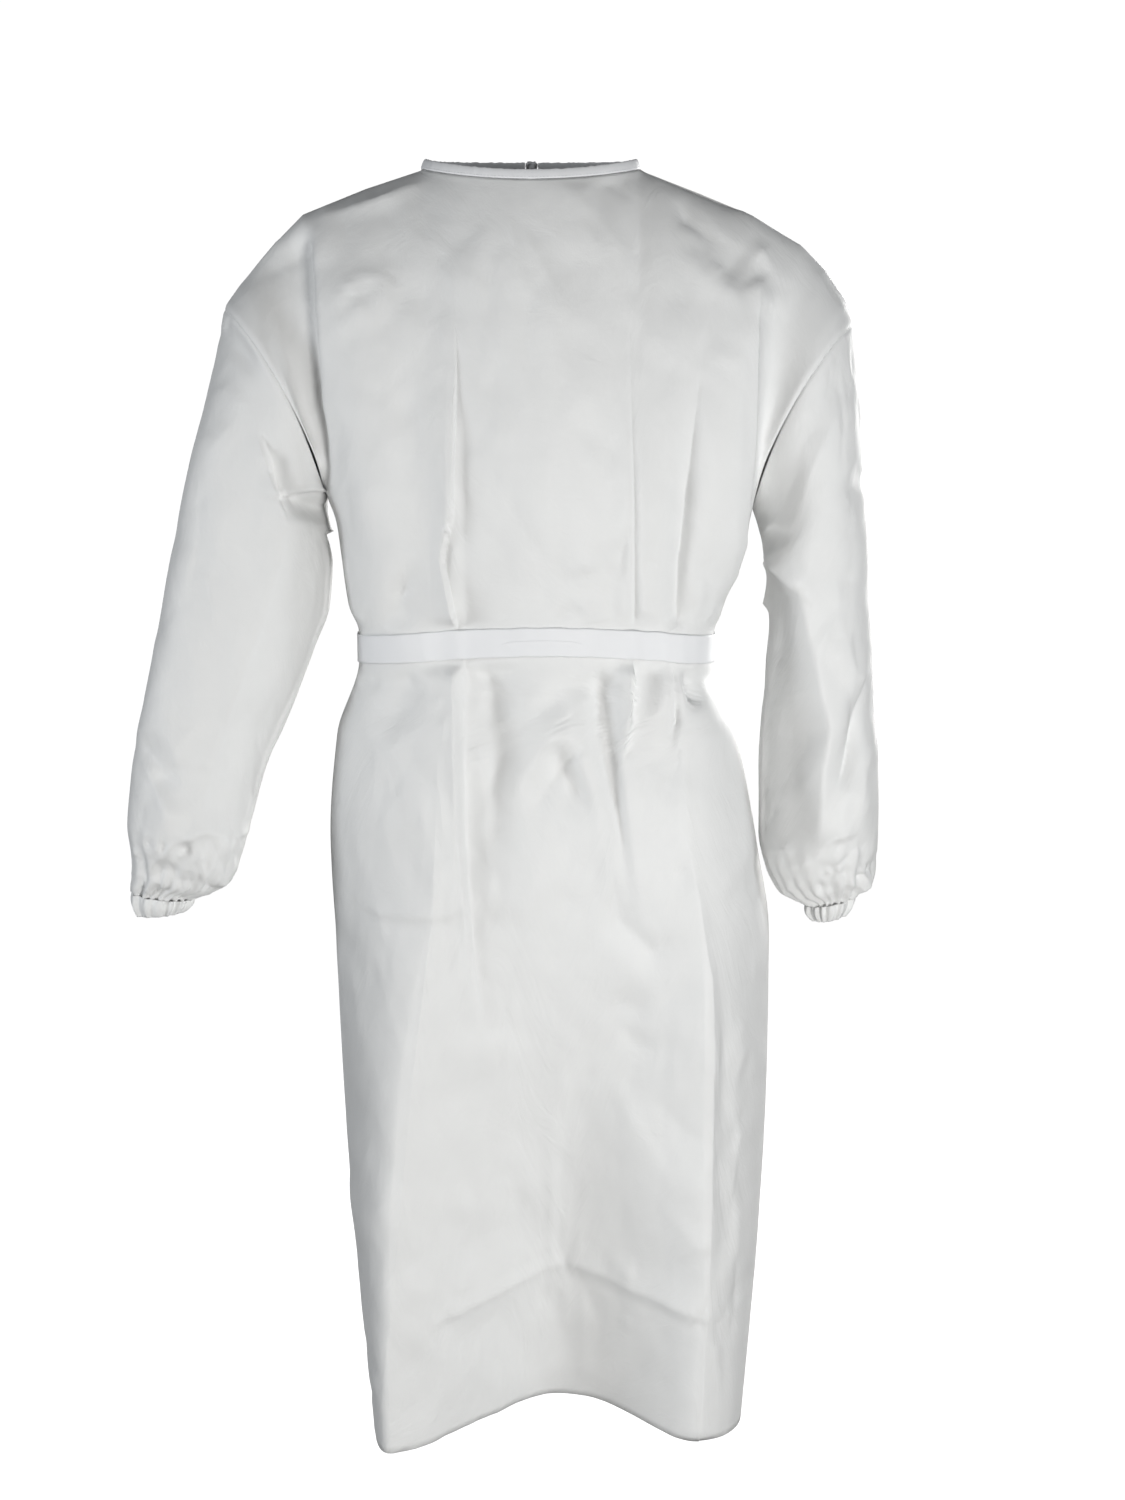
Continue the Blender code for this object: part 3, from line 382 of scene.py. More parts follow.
def fold_height(folds, x, z):
    """Height of all the large folds at places of the front view, in millimetres."""
    height = np.zeros(np.broadcast(x, z).shape)
    for fold in folds:
        run_x, run_z = fold.x1 - fold.x0, fold.z1 - fold.z0
        length = math.hypot(run_x, run_z)
        along = ((x - fold.x0) * run_x + (z - fold.z0) * run_z) / length ** 2
        across = ((z - fold.z0) * run_x - (x - fold.x0) * run_z) / length
        ends = np.clip(np.minimum(along / fold.fade_in, (1 - along) / fold.fade_out), 0, 1)
        width = np.where(across < 0, fold.before, fold.after)
        share = np.clip(1 - np.abs(across) / width, 0, 1)
        form = fold.crisp * share + (1 - fold.crisp) * smoothstep(0, 1, share)
        height += fold.height * smoothstep(0, 1, ends) * form
    return height


def unit(vectors):
    return vectors / np.maximum(np.linalg.norm(vectors, axis=-1, keepdims=True), 1e-9)


def outward(grid, sign):
    """Unit normals of a grid of points, sign says which way is out."""
    down = np.gradient(grid, axis=0)
    across = np.gradient(grid, axis=1)
    return unit(np.cross(down, across) * sign)


def belt_grip(z, belt_z):
    """How freely the cloth stands off its form, from none at the belt to all of it."""
    half = (BELT_TOP - BELT_BOTTOM) / 2
    return smoothstep(half + GRIP_START, half + GRIP_END, np.abs(z - belt_z))


def sleeve_ring(side, along, angle, flatter=0.0):
    """Points of a sleeve's ring: angle 0 is the outer edge, pi the inner one."""
    ring = ring_at(SLEEVES[side] + (CUFF_ENDS[side],), along)
    turn = np.cos(angle)
    front = np.sin(angle) >= 0
    crest = np.where(front, ring.crest, 0.0)
    fullness = np.where(front, ring.round, 2.0) + flatter
    share = np.abs(turn) ** (2 / fullness)
    place = np.where(turn >= 0, crest + (1 - crest) * share, crest - (1 + crest) * share)
    depth = np.abs(np.sin(angle)) ** (2 / fullness)
    out = np.array([ring.out_x, ring.out_z])
    inner = np.array([ring.in_x, ring.in_z])
    middle, half = (out + inner) / 2, (out - inner) / 2
    to_body = unit(np.array([-half[1], half[0]])) * SIDES[side]
    bow = ring.bow * np.abs(np.sin(angle)) ** BOW_POWER
    x = middle[0] + half[0] * place + to_body[0] * bow
    z = middle[1] + half[1] * place + to_body[1] * bow
    y = ring.mid + np.where(front, -ring.fore, ring.aft) * depth
    return np.stack([x, y, z], axis=-1)


def top_edge(u, front):
    """The shoulder seams and the neck edge between them."""
    side = np.where(u < 0, -1.0, 1.0)
    turn = np.clip(np.abs(u) / NECK_U, 0, 1) * math.pi / 2
    reach = -NECK_FRONT_REACH if front else NECK_BACK_REACH
    middle_z = -NECK_FRONT_DROP if front else -NECK_BACK_DROP
    x = side * NECK_HALF_WIDTH * np.sin(turn)
    y = reach * np.cos(turn)
    z = -NECK_SIDE_DROP + (middle_z + NECK_SIDE_DROP) * np.cos(turn) ** NECK_DROP_POWER
    for name, sign in SIDES.items():
        table = SHOULDERS[name]
        on_shoulder = (u * sign > NECK_U)
        places = table_column(table, "u")
        x = np.where(on_shoulder, np.interp(np.abs(u), places, table_column(table, "x")), x)
        z = np.where(on_shoulder, np.interp(np.abs(u), places, table_column(table, "z")), z)
        y = np.where(on_shoulder, 0.0, y)
    return np.stack([x, y, z], axis=-1)


def front_plan(u, z):
    level = level_at(z)
    side = np.abs(u) > RIDGE_U
    turn = (1 - np.clip((np.abs(u) - RIDGE_U) / (1 - RIDGE_U), 0, 1)) * math.pi / 2
    edge = np.where(u < 0, level.right, level.left)
    ridge = np.where(u < 0, level.ridge_right, level.ridge_left)
    fall = np.where(u < 0, level.fall_right, level.fall_left)
    side_x = ridge + (edge - ridge) * np.cos(turn) ** (2 / level.round)
    side_y = -fall * np.sin(turn) ** (2 / level.round)
    share = np.clip((u + RIDGE_U) / (2 * RIDGE_U), 0, 1)
    hollow = np.sin(math.pi * share ** level.lean) ** HOLLOW_POWER
    mean_fall = level.fall_right + (level.fall_left - level.fall_right) * share
    middle_x = level.ridge_right + (level.ridge_left - level.ridge_right) * share
    middle_y = -mean_fall - (level.fall_middle - (level.fall_right + level.fall_left) / 2) * hollow
    height = z + level.lift * np.cos(u * math.pi / 2) ** 2 + level.arch * hollow * ~side
    return np.stack([np.where(side, side_x, middle_x), np.where(side, side_y, middle_y), height],
                    axis=-1)


def back_plan(u, z):
    level = level_at(z)
    middle = (level.right + level.left) / 2
    turn = (1 - np.abs(u)) * math.pi / 2
    edge = np.where(u < 0, level.right, level.left)
    x = middle + (edge - middle) * np.cos(turn) ** (2 / BACK_ROUND)
    y = level.back * np.sin(turn) ** (2 / BACK_ROUND)
    height = z - 0.5 * level.lift * np.cos(u * math.pi / 2) ** 2
    return np.stack([x, y, height], axis=-1)


def underarm_tilt(points, z):
    """The left underarm lies a little lower than the right one."""
    low, high = SLEEVES["left"][0], SLEEVES["right"][0]
    middle_x = (low.in_x + high.in_x) / 2
    slope = (low.in_z - high.in_z) / (low.in_x - high.in_x)
    fade = np.clip((z - BELT_TOP) / (BODY_ROWS[0] - BELT_TOP), 0, 1)
    points[..., 2] += (points[..., 0] - middle_x) * slope * fade
    return points


def body_point(u, row, front):
    """A place of the unfolded body: rows 0 to ARMHOLE_ROWS run down the armhole."""
    plan = front_plan if front else back_plan
    z = np.interp(row - ARMHOLE_ROWS, np.arange(len(BODY_ROWS)), BODY_ROWS)
    lower = underarm_tilt(plan(u, z), z)
    share = np.clip(row / ARMHOLE_ROWS, 0, 1)
    top = top_edge(u, front)
    edge = smoothstep(ARM_U, 1.0, np.abs(u))
    drop = (1 - edge) * share + edge * (1 - np.cos(math.pi * share)) / 2
    upper = top + (lower - top) * drop[..., None]
    full = np.where(np.abs(lower[..., 1]) > 1e-6, lower[..., 1], 1.0)
    start = np.sqrt(1 - np.clip(top[..., 1] / full, 0, 1) ** 2)
    chest = lower[..., 1] * np.sqrt(1 - (start * (1 - share)) ** 2)
    angle = math.pi * share * (1 if front else -1)
    for side, sign in SIDES.items():
        here = u * sign > 0
        seam = sleeve_ring(side, 0.0, angle)
        first = SLEEVES[side][0]
        way = (1 - np.cos(angle)) / 2
        chord_x = first.out_x + (first.in_x - first.out_x) * way
        chord_z = first.out_z + (first.in_z - first.out_z) * way
        upper[..., 0] += np.where(here, (seam[..., 0] - chord_x) * edge, 0.0)
        upper[..., 2] += np.where(here, (seam[..., 2] - chord_z) * edge, 0.0)
        arm = seam[..., 1] * edge + lower[..., 1] * edge * share ** ARM_POWER
        upper[..., 1] = np.where(here, chest * (1 - edge) + arm, upper[..., 1])
    upper[..., 1] = np.where(u == 0, chest, upper[..., 1])
    return np.where((row <= ARMHOLE_ROWS)[..., None], upper, lower)


def belt_middle(u, front):
    """Height of the belt's middle round the body."""
    z = np.full_like(u, (BELT_TOP + BELT_BOTTOM) / 2)
    plan = front_plan if front else back_plan
    return plan(u, z)[..., 2]


def neck_frame(points):
    """Outward and upward ways of the binding at points of the neck edge."""
    radial = unit(points * np.array([1.0, NECK_STRETCH, 0.0]))
    vertical = np.array([0.0, 0.0, 1.0])
    return unit(radial + vertical * NECK_LEAN), unit(vertical - radial * NECK_LEAN)


# Fine creases. Each is a line through points of the front view with a height at each
# point, and the widths of its two sides. A crease drops from its line along a paper-like
# curve, steep at the line and flat at its foot, mixed with a soft one. Where the cloth folds
# over itself, the side after the line is a step down instead, with step below zero.
Crease = namedtuple("Crease", "points before after crisp step", defaults=(0.9, 1.0))


def crease_height(creases, x, z):
    """Height of the fine creases at places of the front view, in millimetres."""
    height = np.zeros(x.shape)
    for crease in creases:
        line = np.array(crease.points, float)
        sides = CREASE_REACH * crease.before, CREASE_REACH * crease.after
        reach = max(sides)
        near = ((x > line[:, 0].min() - reach) & (x < line[:, 0].max() + reach)
                & (z > line[:, 1].min() - reach) & (z < line[:, 1].max() + reach))
        if not near.any():
            continue
        px, pz = x[near], z[near]
        best = np.full(px.shape, 1e9)
        value = np.zeros(px.shape)
        for start, end in zip(line[:-1], line[1:]):
            run = end[:2] - start[:2]
            length = max(float(np.hypot(*run)), 1e-6)
            along = np.clip(((px - start[0]) * run[0] + (pz - start[1]) * run[1]) / length ** 2,
                            0, 1)
            off_x = px - start[0] - along * run[0]
            off_z = pz - start[1] - along * run[1]
            distance = np.hypot(off_x, off_z)
            before = (off_z * run[0] - off_x * run[1]) < 0
            share = np.clip(1 - distance / np.where(before, *sides), 0, 1)
            form = crease.crisp * share ** 2 + (1 - crease.crisp) * smoothstep(0, 1, share)
            here = (start[2] + (end[2] - start[2]) * along) * form
            here *= np.where(before, 1.0, crease.step)
            closer = distance < best
            value = np.where(closer, here, value)
            best = np.minimum(best, distance)
        height[near] += value
    return height


def crumpled(x, z, seed):
    """A light crumple all over stiff cloth: sharp lines between smooth, tilted fields."""
    dice = np.random.default_rng(seed)
    total = np.zeros(x.shape)
    for pitch, height in CRUMPLE:
        field = np.zeros(x.shape)
        for _ in range(CRUMPLE_WAVES):
            turn = dice.normal(0, CRUMPLE_TURN)
            here = pitch * dice.uniform(0.7, 1.7)
            phase = dice.uniform(0, 2 * math.pi)
            field += np.sin(2 * math.pi * (x * math.cos(turn) + z * math.sin(turn)) / here + phase)
        total += height * np.abs(field) / math.sqrt(CRUMPLE_WAVES / 2)
    phases = dice.uniform(0, 2 * math.pi, 4)
    patches = (np.sin(x / 47 + phases[0]) * np.sin(z / 61 + phases[1])
               + np.sin(x / 83 - z / 71 + phases[2]) + np.sin(z / 33 + x / 90 + phases[3]))
    return total * (CRUMPLE_EVEN + (1 - CRUMPLE_EVEN) * np.tanh(patches))


def strewn(*rows):
    """Small creases strewn by the seed over boxes of the front view.

    A row holds the seed's step, how many there are, their box, the mean and the spread of
    their slants, the ranges of their lengths, heights and widths, and how crisp they are.
    """
    creases = []
    for step, count, box, slant, size, height, width, *crisp in rows:
        dice = np.random.default_rng(SEED + step)
        for _ in range(count):
            x, z = dice.uniform(box[0], box[1]), dice.uniform(box[2], box[3])
            turn = math.radians(dice.normal(slant[0], slant[1]))
            length = dice.uniform(*size)
            bend = dice.uniform(-0.2, 0.2) * length
            step_x, step_z = math.cos(turn) * length / 2, math.sin(turn) * length / 2
            top = dice.uniform(*height) * (1 if dice.random() < 0.5 else -1)
            foot = dice.uniform(*width)
            middle = (x - step_z / length * bend, z + step_x / length * bend, top)
            points = ((x - step_x, z - step_z, 0), middle, (x + step_x, z + step_z, 0))
            creases.append(Crease(points, foot, foot * dice.uniform(0.5, 2.2),
                                  *(crisp or (CREASE_CRISP,))))
    return tuple(creases)


FRONT_CREASES = (
    # Chest
    Crease(((-62, -140, 0), (-62, -200, 0.8), (-64, -300, 1.8), (-72, -340, 2.2), (-65, -380, 2.8),
            (-62, -398, 2.2), (-61, -406, 1.8)), 20, 10, 0.8, -0.6),
    Crease(((-82, -240, 0), (-84, -320, -1.2), (-82, -395, -1.2), (-84, -406, 0)), 12, 14, 0.55),
    Crease(((84, -150, 0), (86, -260, -1.4), (88, -350, -2.4), (89, -400, -2.0), (89, -407, -0.8)),
           9, 5, 0.95),
    Crease(((147, -160, 0), (138, -240, -1.4), (129, -340, -2.2), (128, -404, -1.6)), 12, 6, 0.95),
    Crease(((188, -85, 0), (190, -130, 2.0), (184, -240, 2.4), (174, -330, 2.2), (166, -392, 0.8)),
           16, 9, 0.95),
    Crease(((124, -36, 0), (134, -54, -2.2), (184, -88, 0)), 8, 14, 0.95),
    Crease(((132, -56, 0), (160, -98, 1.8), (184, -142, 0)), 16, 12),
    Crease(((184, -92, 0), (197, -84, 1.8), (219, -114, 0)), 7, 9, 0.95),
    Crease(((155, -107, 0), (168, -120, 1.0), (180, -136, 0)), 10, 8),
    Crease(((148, -168, 0), (162, -174, 0.9), (180, -180, 0)), 8, 8),
    Crease(((-178, -140, 0), (-150, -115, 2.4), (-138, -107, 2.2), (-126, -106, 1.4),
           (-128, -140, -0.4), (-131, -160, 0)), 7, 14, 0.95),
    Crease(((-7, -62, 0), (14, -104, 0.8), (36, -140, 0)), 12, 9),
    Crease(((42, -58, 0), (52, -74, 0.7), (60, -90, 0)), 10, 9),
    Crease(((-108, -165, 0), (-108, -200, -1.0), (-106, -260, 0)), 14, 16, 0.55),
    Crease(((-84, -20, 0), (-126, -38, 2.6), (-190, -54, 0)), 8, 8),
    Crease(((26, -357, 0), (45, -348, 1.2), (64, -345, 0)), 5, 8),
    Crease(((26, -371, 0), (46, -381, 1.3), (52, -390, 0)), 5, 8),
    Crease(((-94, -338, 0), (-110, -372, -2.6), (-120, -394, -0.6)), 12, 9),
    Crease(((-90, -370, 0), (-104, -376, 1.8), (-120, -384, 0)), 5, 7),
    Crease(((84, -312, 0), (78, -335, -2.4), (76, -366, 0)), 9, 6),
    Crease(((145, -350, 0), (144, -374, 1.2), (143, -398, 0)), 6, 6),
    # From the belt down
    Crease(((-64, -440, 0.8), (-64, -500, 1.3), (-64, -560, 0.9), (-66, -640, 0)), 10, 5),
    Crease(((-56, -440, -3.6), (-56, -500, -5.4), (-54, -580, -4.6), (-46, -680, -2.4),
            (-36, -760, 0)), 4.5, 32, 0.3),
    Crease(((-78, -520, 0), (-82, -640, 1.6), (-98, -760, 1.6), (-104, -820, 1.2),
            (-114, -920, 0.9), (-130, -1080, 0.6)), 12, 14),
    Crease(((60, -440, -2.2), (64, -500, -2.8), (72, -550, -2.2), (81, -592, -1.1),
            (88, -650, 0)), 6, 7, 0.5),
    Crease(((76, -440, 1.2), (76, -500, 1.6), (86, -590, 1.0), (92, -650, 0)), 5, 6, 0.4),
    Crease(((88, -438, 1.8), (86, -470, 2.2), (82, -500, 1.4), (81, -512, 0)), 5, 12, 0.9, -0.9),
    Crease(((122, -440, -2.2), (125, -478, -3.2), (118, -512, 0)), 9, 4),
    Crease(((131, -438, 0), (143, -460, -3.2), (152, -456, 0)), 8, 6, 0.8),
    Crease(((45, -440, 0), (22, -460, -1.9), (-8, -488, 0)), 10, 9, 0.4),
    Crease(((-20, -556, 0.2), (-6, -526, 1.9), (20, -490, 2.3), (42, -514, 2.2), (62, -554, 0)),
           9, 18),
    Crease(((-8, -568, 0), (8, -545, -1.5), (27, -518, -2.3), (41, -540, -2.4), (55, -562, 0)),
           20, 6, 0.95),
    Crease(((60, -524, 0), (72, -556, 1.0), (80, -570, 0)), 8, 8),
    Crease(((-150, -640, 0.4), (-126, -646, 1.2), (-104, -646, 1.4), (-66, -643, 0.6)), 5, 18, 1.0),
    Crease(((-146, -590, 0), (-120, -680, 0.9), (-92, -760, 0)), 12, 12, 0.75),
    Crease(((-134, -670, 0), (-122, -720, 0.8), (-96, -800, 0)), 10, 12, 0.75),
    Crease(((137, -586, 0), (145, -640, 1.4), (153, -700, 2.0), (155, -830, 2.0),
            (153, -1000, 1.8), (148, -1114, 1.2)), 26, 7, 1.0),
    Crease(((184, -526, 0), (184, -600, 1.6), (149, -642, 0)), 22, 12),
    Crease(((70, -606, 0), (78, -652, -2.0), (104, -676, -2.4), (134, -664, 0)), 16, 10, 0.8),
    Crease(((62, -736, 0), (92, -757, -2.0), (110, -766, 0)), 12, 8),
    Crease(((30, -738, 0), (28, -800, 0.9), (10, -838, 0)), 14, 16, 0.75),
    Crease(((174, -760, 0), (184, -748, 1.0), (190, -740, 0)), 5, 5),
    Crease(((54, -826, 0), (100, -884, 1.0), (148, -938, 1.3), (152, -944, 0)), 26, 16, 1.0),
    Crease(((18, -806, 0), (18, -900, 0.7), (18, -968, 0.5)), 6, 6),
    Crease(((74, -956, 0), (86, -972, 0.8), (92, -978, 0)), 6, 6),
    # Packing folds near the hem
    Crease(((-88, -1014, 0.2), (-82, -1006, 0.9), (-36, -990, 1.1), (6, -973, 0.9),
            (24, -968, 0.8), (44, -970, 0.8), (84, -985, 0.9), (152, -1004, 0.7)), 6, 26, 1.0),
    Crease(((-84, -1010, 0.5), (-84, -1070, 0.7), (-83, -1116, 0.5)), 12, 20, 1.0),
    Crease(((46, -972, 0.6), (47, -1030, 0.8), (47, -1076, 0.6)), 20, 12, 1.0),
    Crease(((76, -1018, 0), (84, -1021, 0.8), (92, -1016, 0)), 5, 5),
    Crease(((-142, -1078, 0), (-138, -1060, 0.8), (-132, -1050, 0)), 5, 5),
) + strewn(
    (0, 46, (-170, 180, -400, -180), (80, 35), (18, 60), (0.2, 0.7), (5, 11)),
    (1, 40, (-160, 190, -620, -440), (82, 28), (20, 70), (0.3, 0.9), (5, 12)),
    (2, 60, (-160, 200, -1110, -600), (85, 40), (25, 90), (0.15, 0.6), (6, 14)),
    (3, 26, (-180, 190, -180, -30), (60, 50), (18, 50), (0.2, 0.6), (5, 12)),
    (4, 34, (-150, 160, -412, -388), (88, 24), (8, 22), (0.3, 0.9), (3, 6)),
    (5, 30, (-150, 160, -462, -436), (88, 24), (10, 26), (0.3, 0.9), (3, 6)),
    (6, 16, (155, 200, -1060, -680), (86, 10), (40, 110), (0.5, 1.1), (4, 7)),
    (7, 26, (-150, 170, -400, -60), (70, 50), (50, 130), (0.5, 1.3), (18, 34), 1.0),
    (8, 44, (-160, 190, -1100, -470), (75, 45), (60, 160), (0.5, 1.4), (18, 38), 1.0),
)

BACK_CREASES = (
    Crease(((-118, -120, 0), (-110, -220, 1.2), (-105, -330, 1.8), (-104, -407, 1.2)), 14, 8),
    Crease(((110, -110, 0), (109, -230, 1.4), (108, -330, 1.8), (106, -407, 1.2)), 8, 14),
    Crease(((60, -300, 0), (56, -360, -1.4), (58, -407, -1.0)), 10, 10),
    Crease(((-62, -280, 0), (-58, -350, -1.6), (-60, -407, -1.0)), 10, 10),
    Crease(((-94, -440, 1.4), (-98, -540, 2.0), (-106, -650, 1.0), (-116, -760, 0)), 9, 12),
    Crease(((92, -440, 1.4), (98, -560, 2.0), (112, -700, 1.0), (120, -790, 0)), 12, 9),
    Crease(((-62, -440, 1.2), (-66, -500, 1.6), (-72, -560, 0)), 8, 8),
    Crease(((58, -440, 1.2), (64, -510, 1.5), (70, -580, 0)), 8, 8),
    Crease(((132, -470, 0), (120, -520, -1.4), (110, -560, 0)), 9, 9),
    Crease(((-150, -640, 0), (-60, -646, 1.2), (40, -642, 1.2), (150, -648, 0)), 6, 6),
    Crease(((-140, -960, 0), (-60, -966, 1.4), (50, -962, 1.4), (160, -968, 0)), 7, 5),
    Crease(((-118, -760, 0.8), (-120, -900, 1.6), (-124, -1116, 1.2)), 9, 12),
    Crease(((128, -720, 0.8), (130, -900, 1.6), (130, -1116, 1.2)), 12, 9),
    Crease(((-150, -60, 0), (-120, -110, 1.0), (-96, -150, 0)), 12, 12),
    Crease(((160, -70, 0), (130, -118, 1.0), (104, -150, 0)), 12, 12),
) + strewn(
    (11, 50, (-190, 200, -400, -120), (80, 35), (20, 64), (0.2, 0.8), (5, 12)),
    (12, 60, (-170, 190, -640, -440), (82, 28), (20, 80), (0.3, 1.0), (5, 12)),
    (13, 60, (-160, 200, -1110, -600), (85, 40), (25, 90), (0.15, 0.6), (6, 14)),
    (14, 40, (-150, 160, -412, -388), (88, 24), (8, 24), (0.3, 0.9), (3, 6)),
    (15, 40, (-150, 160, -462, -436), (88, 24), (10, 28), (0.3, 0.9), (3, 6)),
    (16, 26, (-170, 190, -400, -60), (70, 50), (50, 130), (0.5, 1.3), (18, 34), 1.0),
    (17, 44, (-170, 190, -1100, -470), (75, 45), (60, 160), (0.5, 1.4), (18, 38), 1.0),
)

SLEEVE_CREASES = {
    "right": (
        Crease(((-262, -132, -1), (-240, -158, -2.0), (-222, -176, 0)), 8, 6),
        Crease(((-230, -236, 0), (-218, -282, 3.4), (-207, -316, 0)), 14, 14, 0.9, -1.0),
        Crease(((-168, -285, 2.4), (-194, -288, 2.8), (-216, -291, 0.4)), 14, 16, 0.9, -1.2),
        Crease(((-288, -318, 0), (-296, -350, 0.9), (-300, -380, 0)), 9, 9),
        Crease(((-348, -510, 0), (-332, -530, 2.2), (-316, -556, 1.8), (-312, -592, 0)),
               9, 12, 0.95),
        Crease(((-338, -620, 0), (-310, -592, 2.6), (-284, -580, 2.4), (-262, -586, 0)),
               6, 16, 1.0),
        Crease(((-284, -634, 0), (-272, -629, 1.4), (-258, -624, 0)), 5, 5),
        Crease(((-348, -594, 0), (-344, -600, 1.0), (-340, -608, 0)), 5, 5),
        Crease(((-300, -400, 0), (-290, -440, 0.8), (-292, -500, 0)), 14, 14, 0.75),
        Crease(((-250, -330, 0), (-252, -400, 0.8), (-262, -470, 0)), 14, 14, 0.75),
    ) + strewn(
        (21, 40, (-345, -190, -600, -180), (75, 40), (16, 60), (0.2, 0.8), (5, 12)),
        (25, 26, (-340, -190, -600, -180), (70, 40), (50, 120), (0.5, 1.4), (14, 30), 1.0),
        (22, 46, (-355, -250, -646, -585), (80, 26), (10, 34), (0.5, 1.6), (3, 7)),
    ),
    "left": (
        Crease(((202, -326, 0), (212, -314, 2.0), (228, -318, 0)), 5, 8, 1.0),
        Crease(((200, -328, 0.5), (218, -352, 3.4), (234, -374, 1.0)), 7, 20, 1.0),
        Crease(((232, -372, 1.0), (240, -412, 2.0), (246, -428, 2.2), (251, -460, 2.2),
                (258, -490, 2.4), (252, -536, 2.6), (250, -568, 1.8), (248, -590, 0)), 15, 20, 1.0),
        Crease(((246, -424, 0), (254, -408, 1.2), (262, -396, 0)), 6, 6),
        Crease(((296, -430, 0), (284, -490, -2.4), (276, -520, -2.6), (258, -552, 0)), 9, 6),
        Crease(((250, -594, 0), (264, -584, 2.0), (286, -580, 0)), 5, 9, 1.0),
        Crease(((280, -284, 0), (292, -290, 1.2), (290, -304, 0)), 8, 8),
        Crease(((268, -370, 0), (262, -396, 1.0), (256, -410, 0)), 8, 8),
    ) + strewn(
        (23, 40, (205, 305, -600, -180), (80, 34), (16, 60), (0.2, 0.8), (5, 12)),
        (26, 26, (205, 305, -600, -180), (76, 34), (50, 120), (0.5, 1.4), (14, 30), 1.0),
        (24, 40, (220, 305, -652, -592), (80, 26), (10, 30), (0.5, 1.4), (3, 7)),
    ),
}

# Where the grid's columns crowd together, as lines of the front view
FRONT_GUIDES = (
    ((-62, -120), (-63, -300), (-61, -406), (-62, -500), (-62, -600), (-50, -680), (-24, -730),
     (-10, -800)),
    ((86, -120), (88, -350), (89, -407), (82, -470), (78, -506), (66, -600)),
    ((147, -120), (138, -240), (128, -350), (126, -405), (124, -478), (140, -600), (153, -700),
     (155, -830), (153, -1000), (148, -1120)),
    ((188, -60), (190, -130), (184, -240), (174, -330), (162, -400), (170, -470)),
    ((-82, -240), (-83, -400), (-74, -500), (-82, -640), (-98, -760), (-104, -820), (-114, -920),
     (-130, -1080), (-132, -1120)),
)
BACK_GUIDES = (
    ((-118, -100), (-105, -330), (-104, -407), (-98, -540), (-106, -650), (-120, -900),
     (-124, -1120)),
    ((110, -100), (108, -330), (106, -407), (98, -560), (112, -700), (130, -900), (130, -1120)),
)

# Tables of the front (True) and of the backs (False)
Tables = namedtuple("Tables", "folds creases guides seed")
PANELS = {True: Tables(FRONT_FOLDS, FRONT_CREASES, FRONT_GUIDES, SEED + 39),
          False: Tables(BACK_FOLDS, BACK_CREASES, BACK_GUIDES, SEED + 41)}


def bell(value, place, width):
    """A bump of height 1 at a place, which fades over its width."""
    return np.exp(-((value - place) / width) ** 2)


def spaced(count, steps, values):
    """Count values, spaced evenly by the running total of the steps between the given ones."""
    total = np.concatenate([[0], np.cumsum(steps)])
    return np.interp(np.linspace(0, total[-1], count), total, values)


def arcs(points, axis):
    """Lengths along the rows (axis 1) or the columns (axis 0) of a grid of points."""
    step = np.linalg.norm(np.diff(points, axis=axis), axis=-1)
    zero = np.zeros_like(np.take(step, [0], axis=axis))
    return np.concatenate([zero, np.cumsum(step, axis=axis)], axis=axis)


def laid_flat(points):
    """Flat places of a grid of points, by the lengths of its rows and columns."""
    return np.stack([arcs(points, 1), -arcs(points, 0)], axis=-1) * MM


def fine_rows(count, front):
    """Fractional rows of a panel, even down its middle but closer at the row stops."""
    row = np.linspace(0, ARMHOLE_ROWS + len(BODY_ROWS) - 1, ROW_SAMPLES)
    middle = body_point(np.full_like(row, ROW_U), row, front)
    z = (middle[1:, 2] + middle[:-1, 2]) / 2
    pull = 1 + sum(more * bell(z, place, width) for place, width, more in ROW_STOPS)
    return spaced(count, np.diff(arcs(middle, 0)) * pull, row)


def crowded_columns(rows, count, front, start, end):
    """Columns from start to end in every row, closer together along the guides and seams."""
    share = np.linspace(0, 1, COLUMN_SAMPLES)
    out = np.zeros((len(rows), count))
    for i, row in enumerate(rows):
        u = start[i] + (end[i] - start[i]) * share
        base = body_point(u, np.full_like(u, row), front)
        step = np.linalg.norm(np.diff(base, axis=0), axis=1)
        x = (base[1:, 0] + base[:-1, 0]) / 2
        z = (base[1:, 2] + base[:-1, 2]) / 2
        pull = np.ones_like(x)
        for line in PANELS[front].guides:
            line = np.array(line[::-1], float)
            low, high = line[0, 1], line[-1, 1]
            place = np.interp(z, line[:, 1], line[:, 0])
            inside = (smoothstep(low - GUIDE_FADE, low, z)
                      * smoothstep(high + GUIDE_FADE, high, z))
            pull += GUIDE_PULL * inside * bell(x, place, GUIDE_WIDTH)
        arc = np.cumsum(step)
        pull += SEAM_PULL * (bell(arc, 0, SEAM_WIDTH) + bell(arc, arc[-1], SEAM_WIDTH))
        out[i] = spaced(count, step * pull, u)
    smooth = out.copy()
    for _ in range(COLUMN_SMOOTHING):
        smooth[1:-1] = (smooth[:-2] + 2 * smooth[1:-1] + smooth[2:]) / 4
        smooth[:, 0], smooth[:, -1] = out[:, 0], out[:, -1]
    return smooth


def seam_relief(distance):
    """A groove at a seam with the sewn allowance raised beside it."""
    low, high = ALLOWANCE_END
    return (ALLOWANCE * (1 - smoothstep(low, high, distance))
            - SEAM_GROOVE * bell(distance, 0, SEAM_GROOVE_WIDTH))


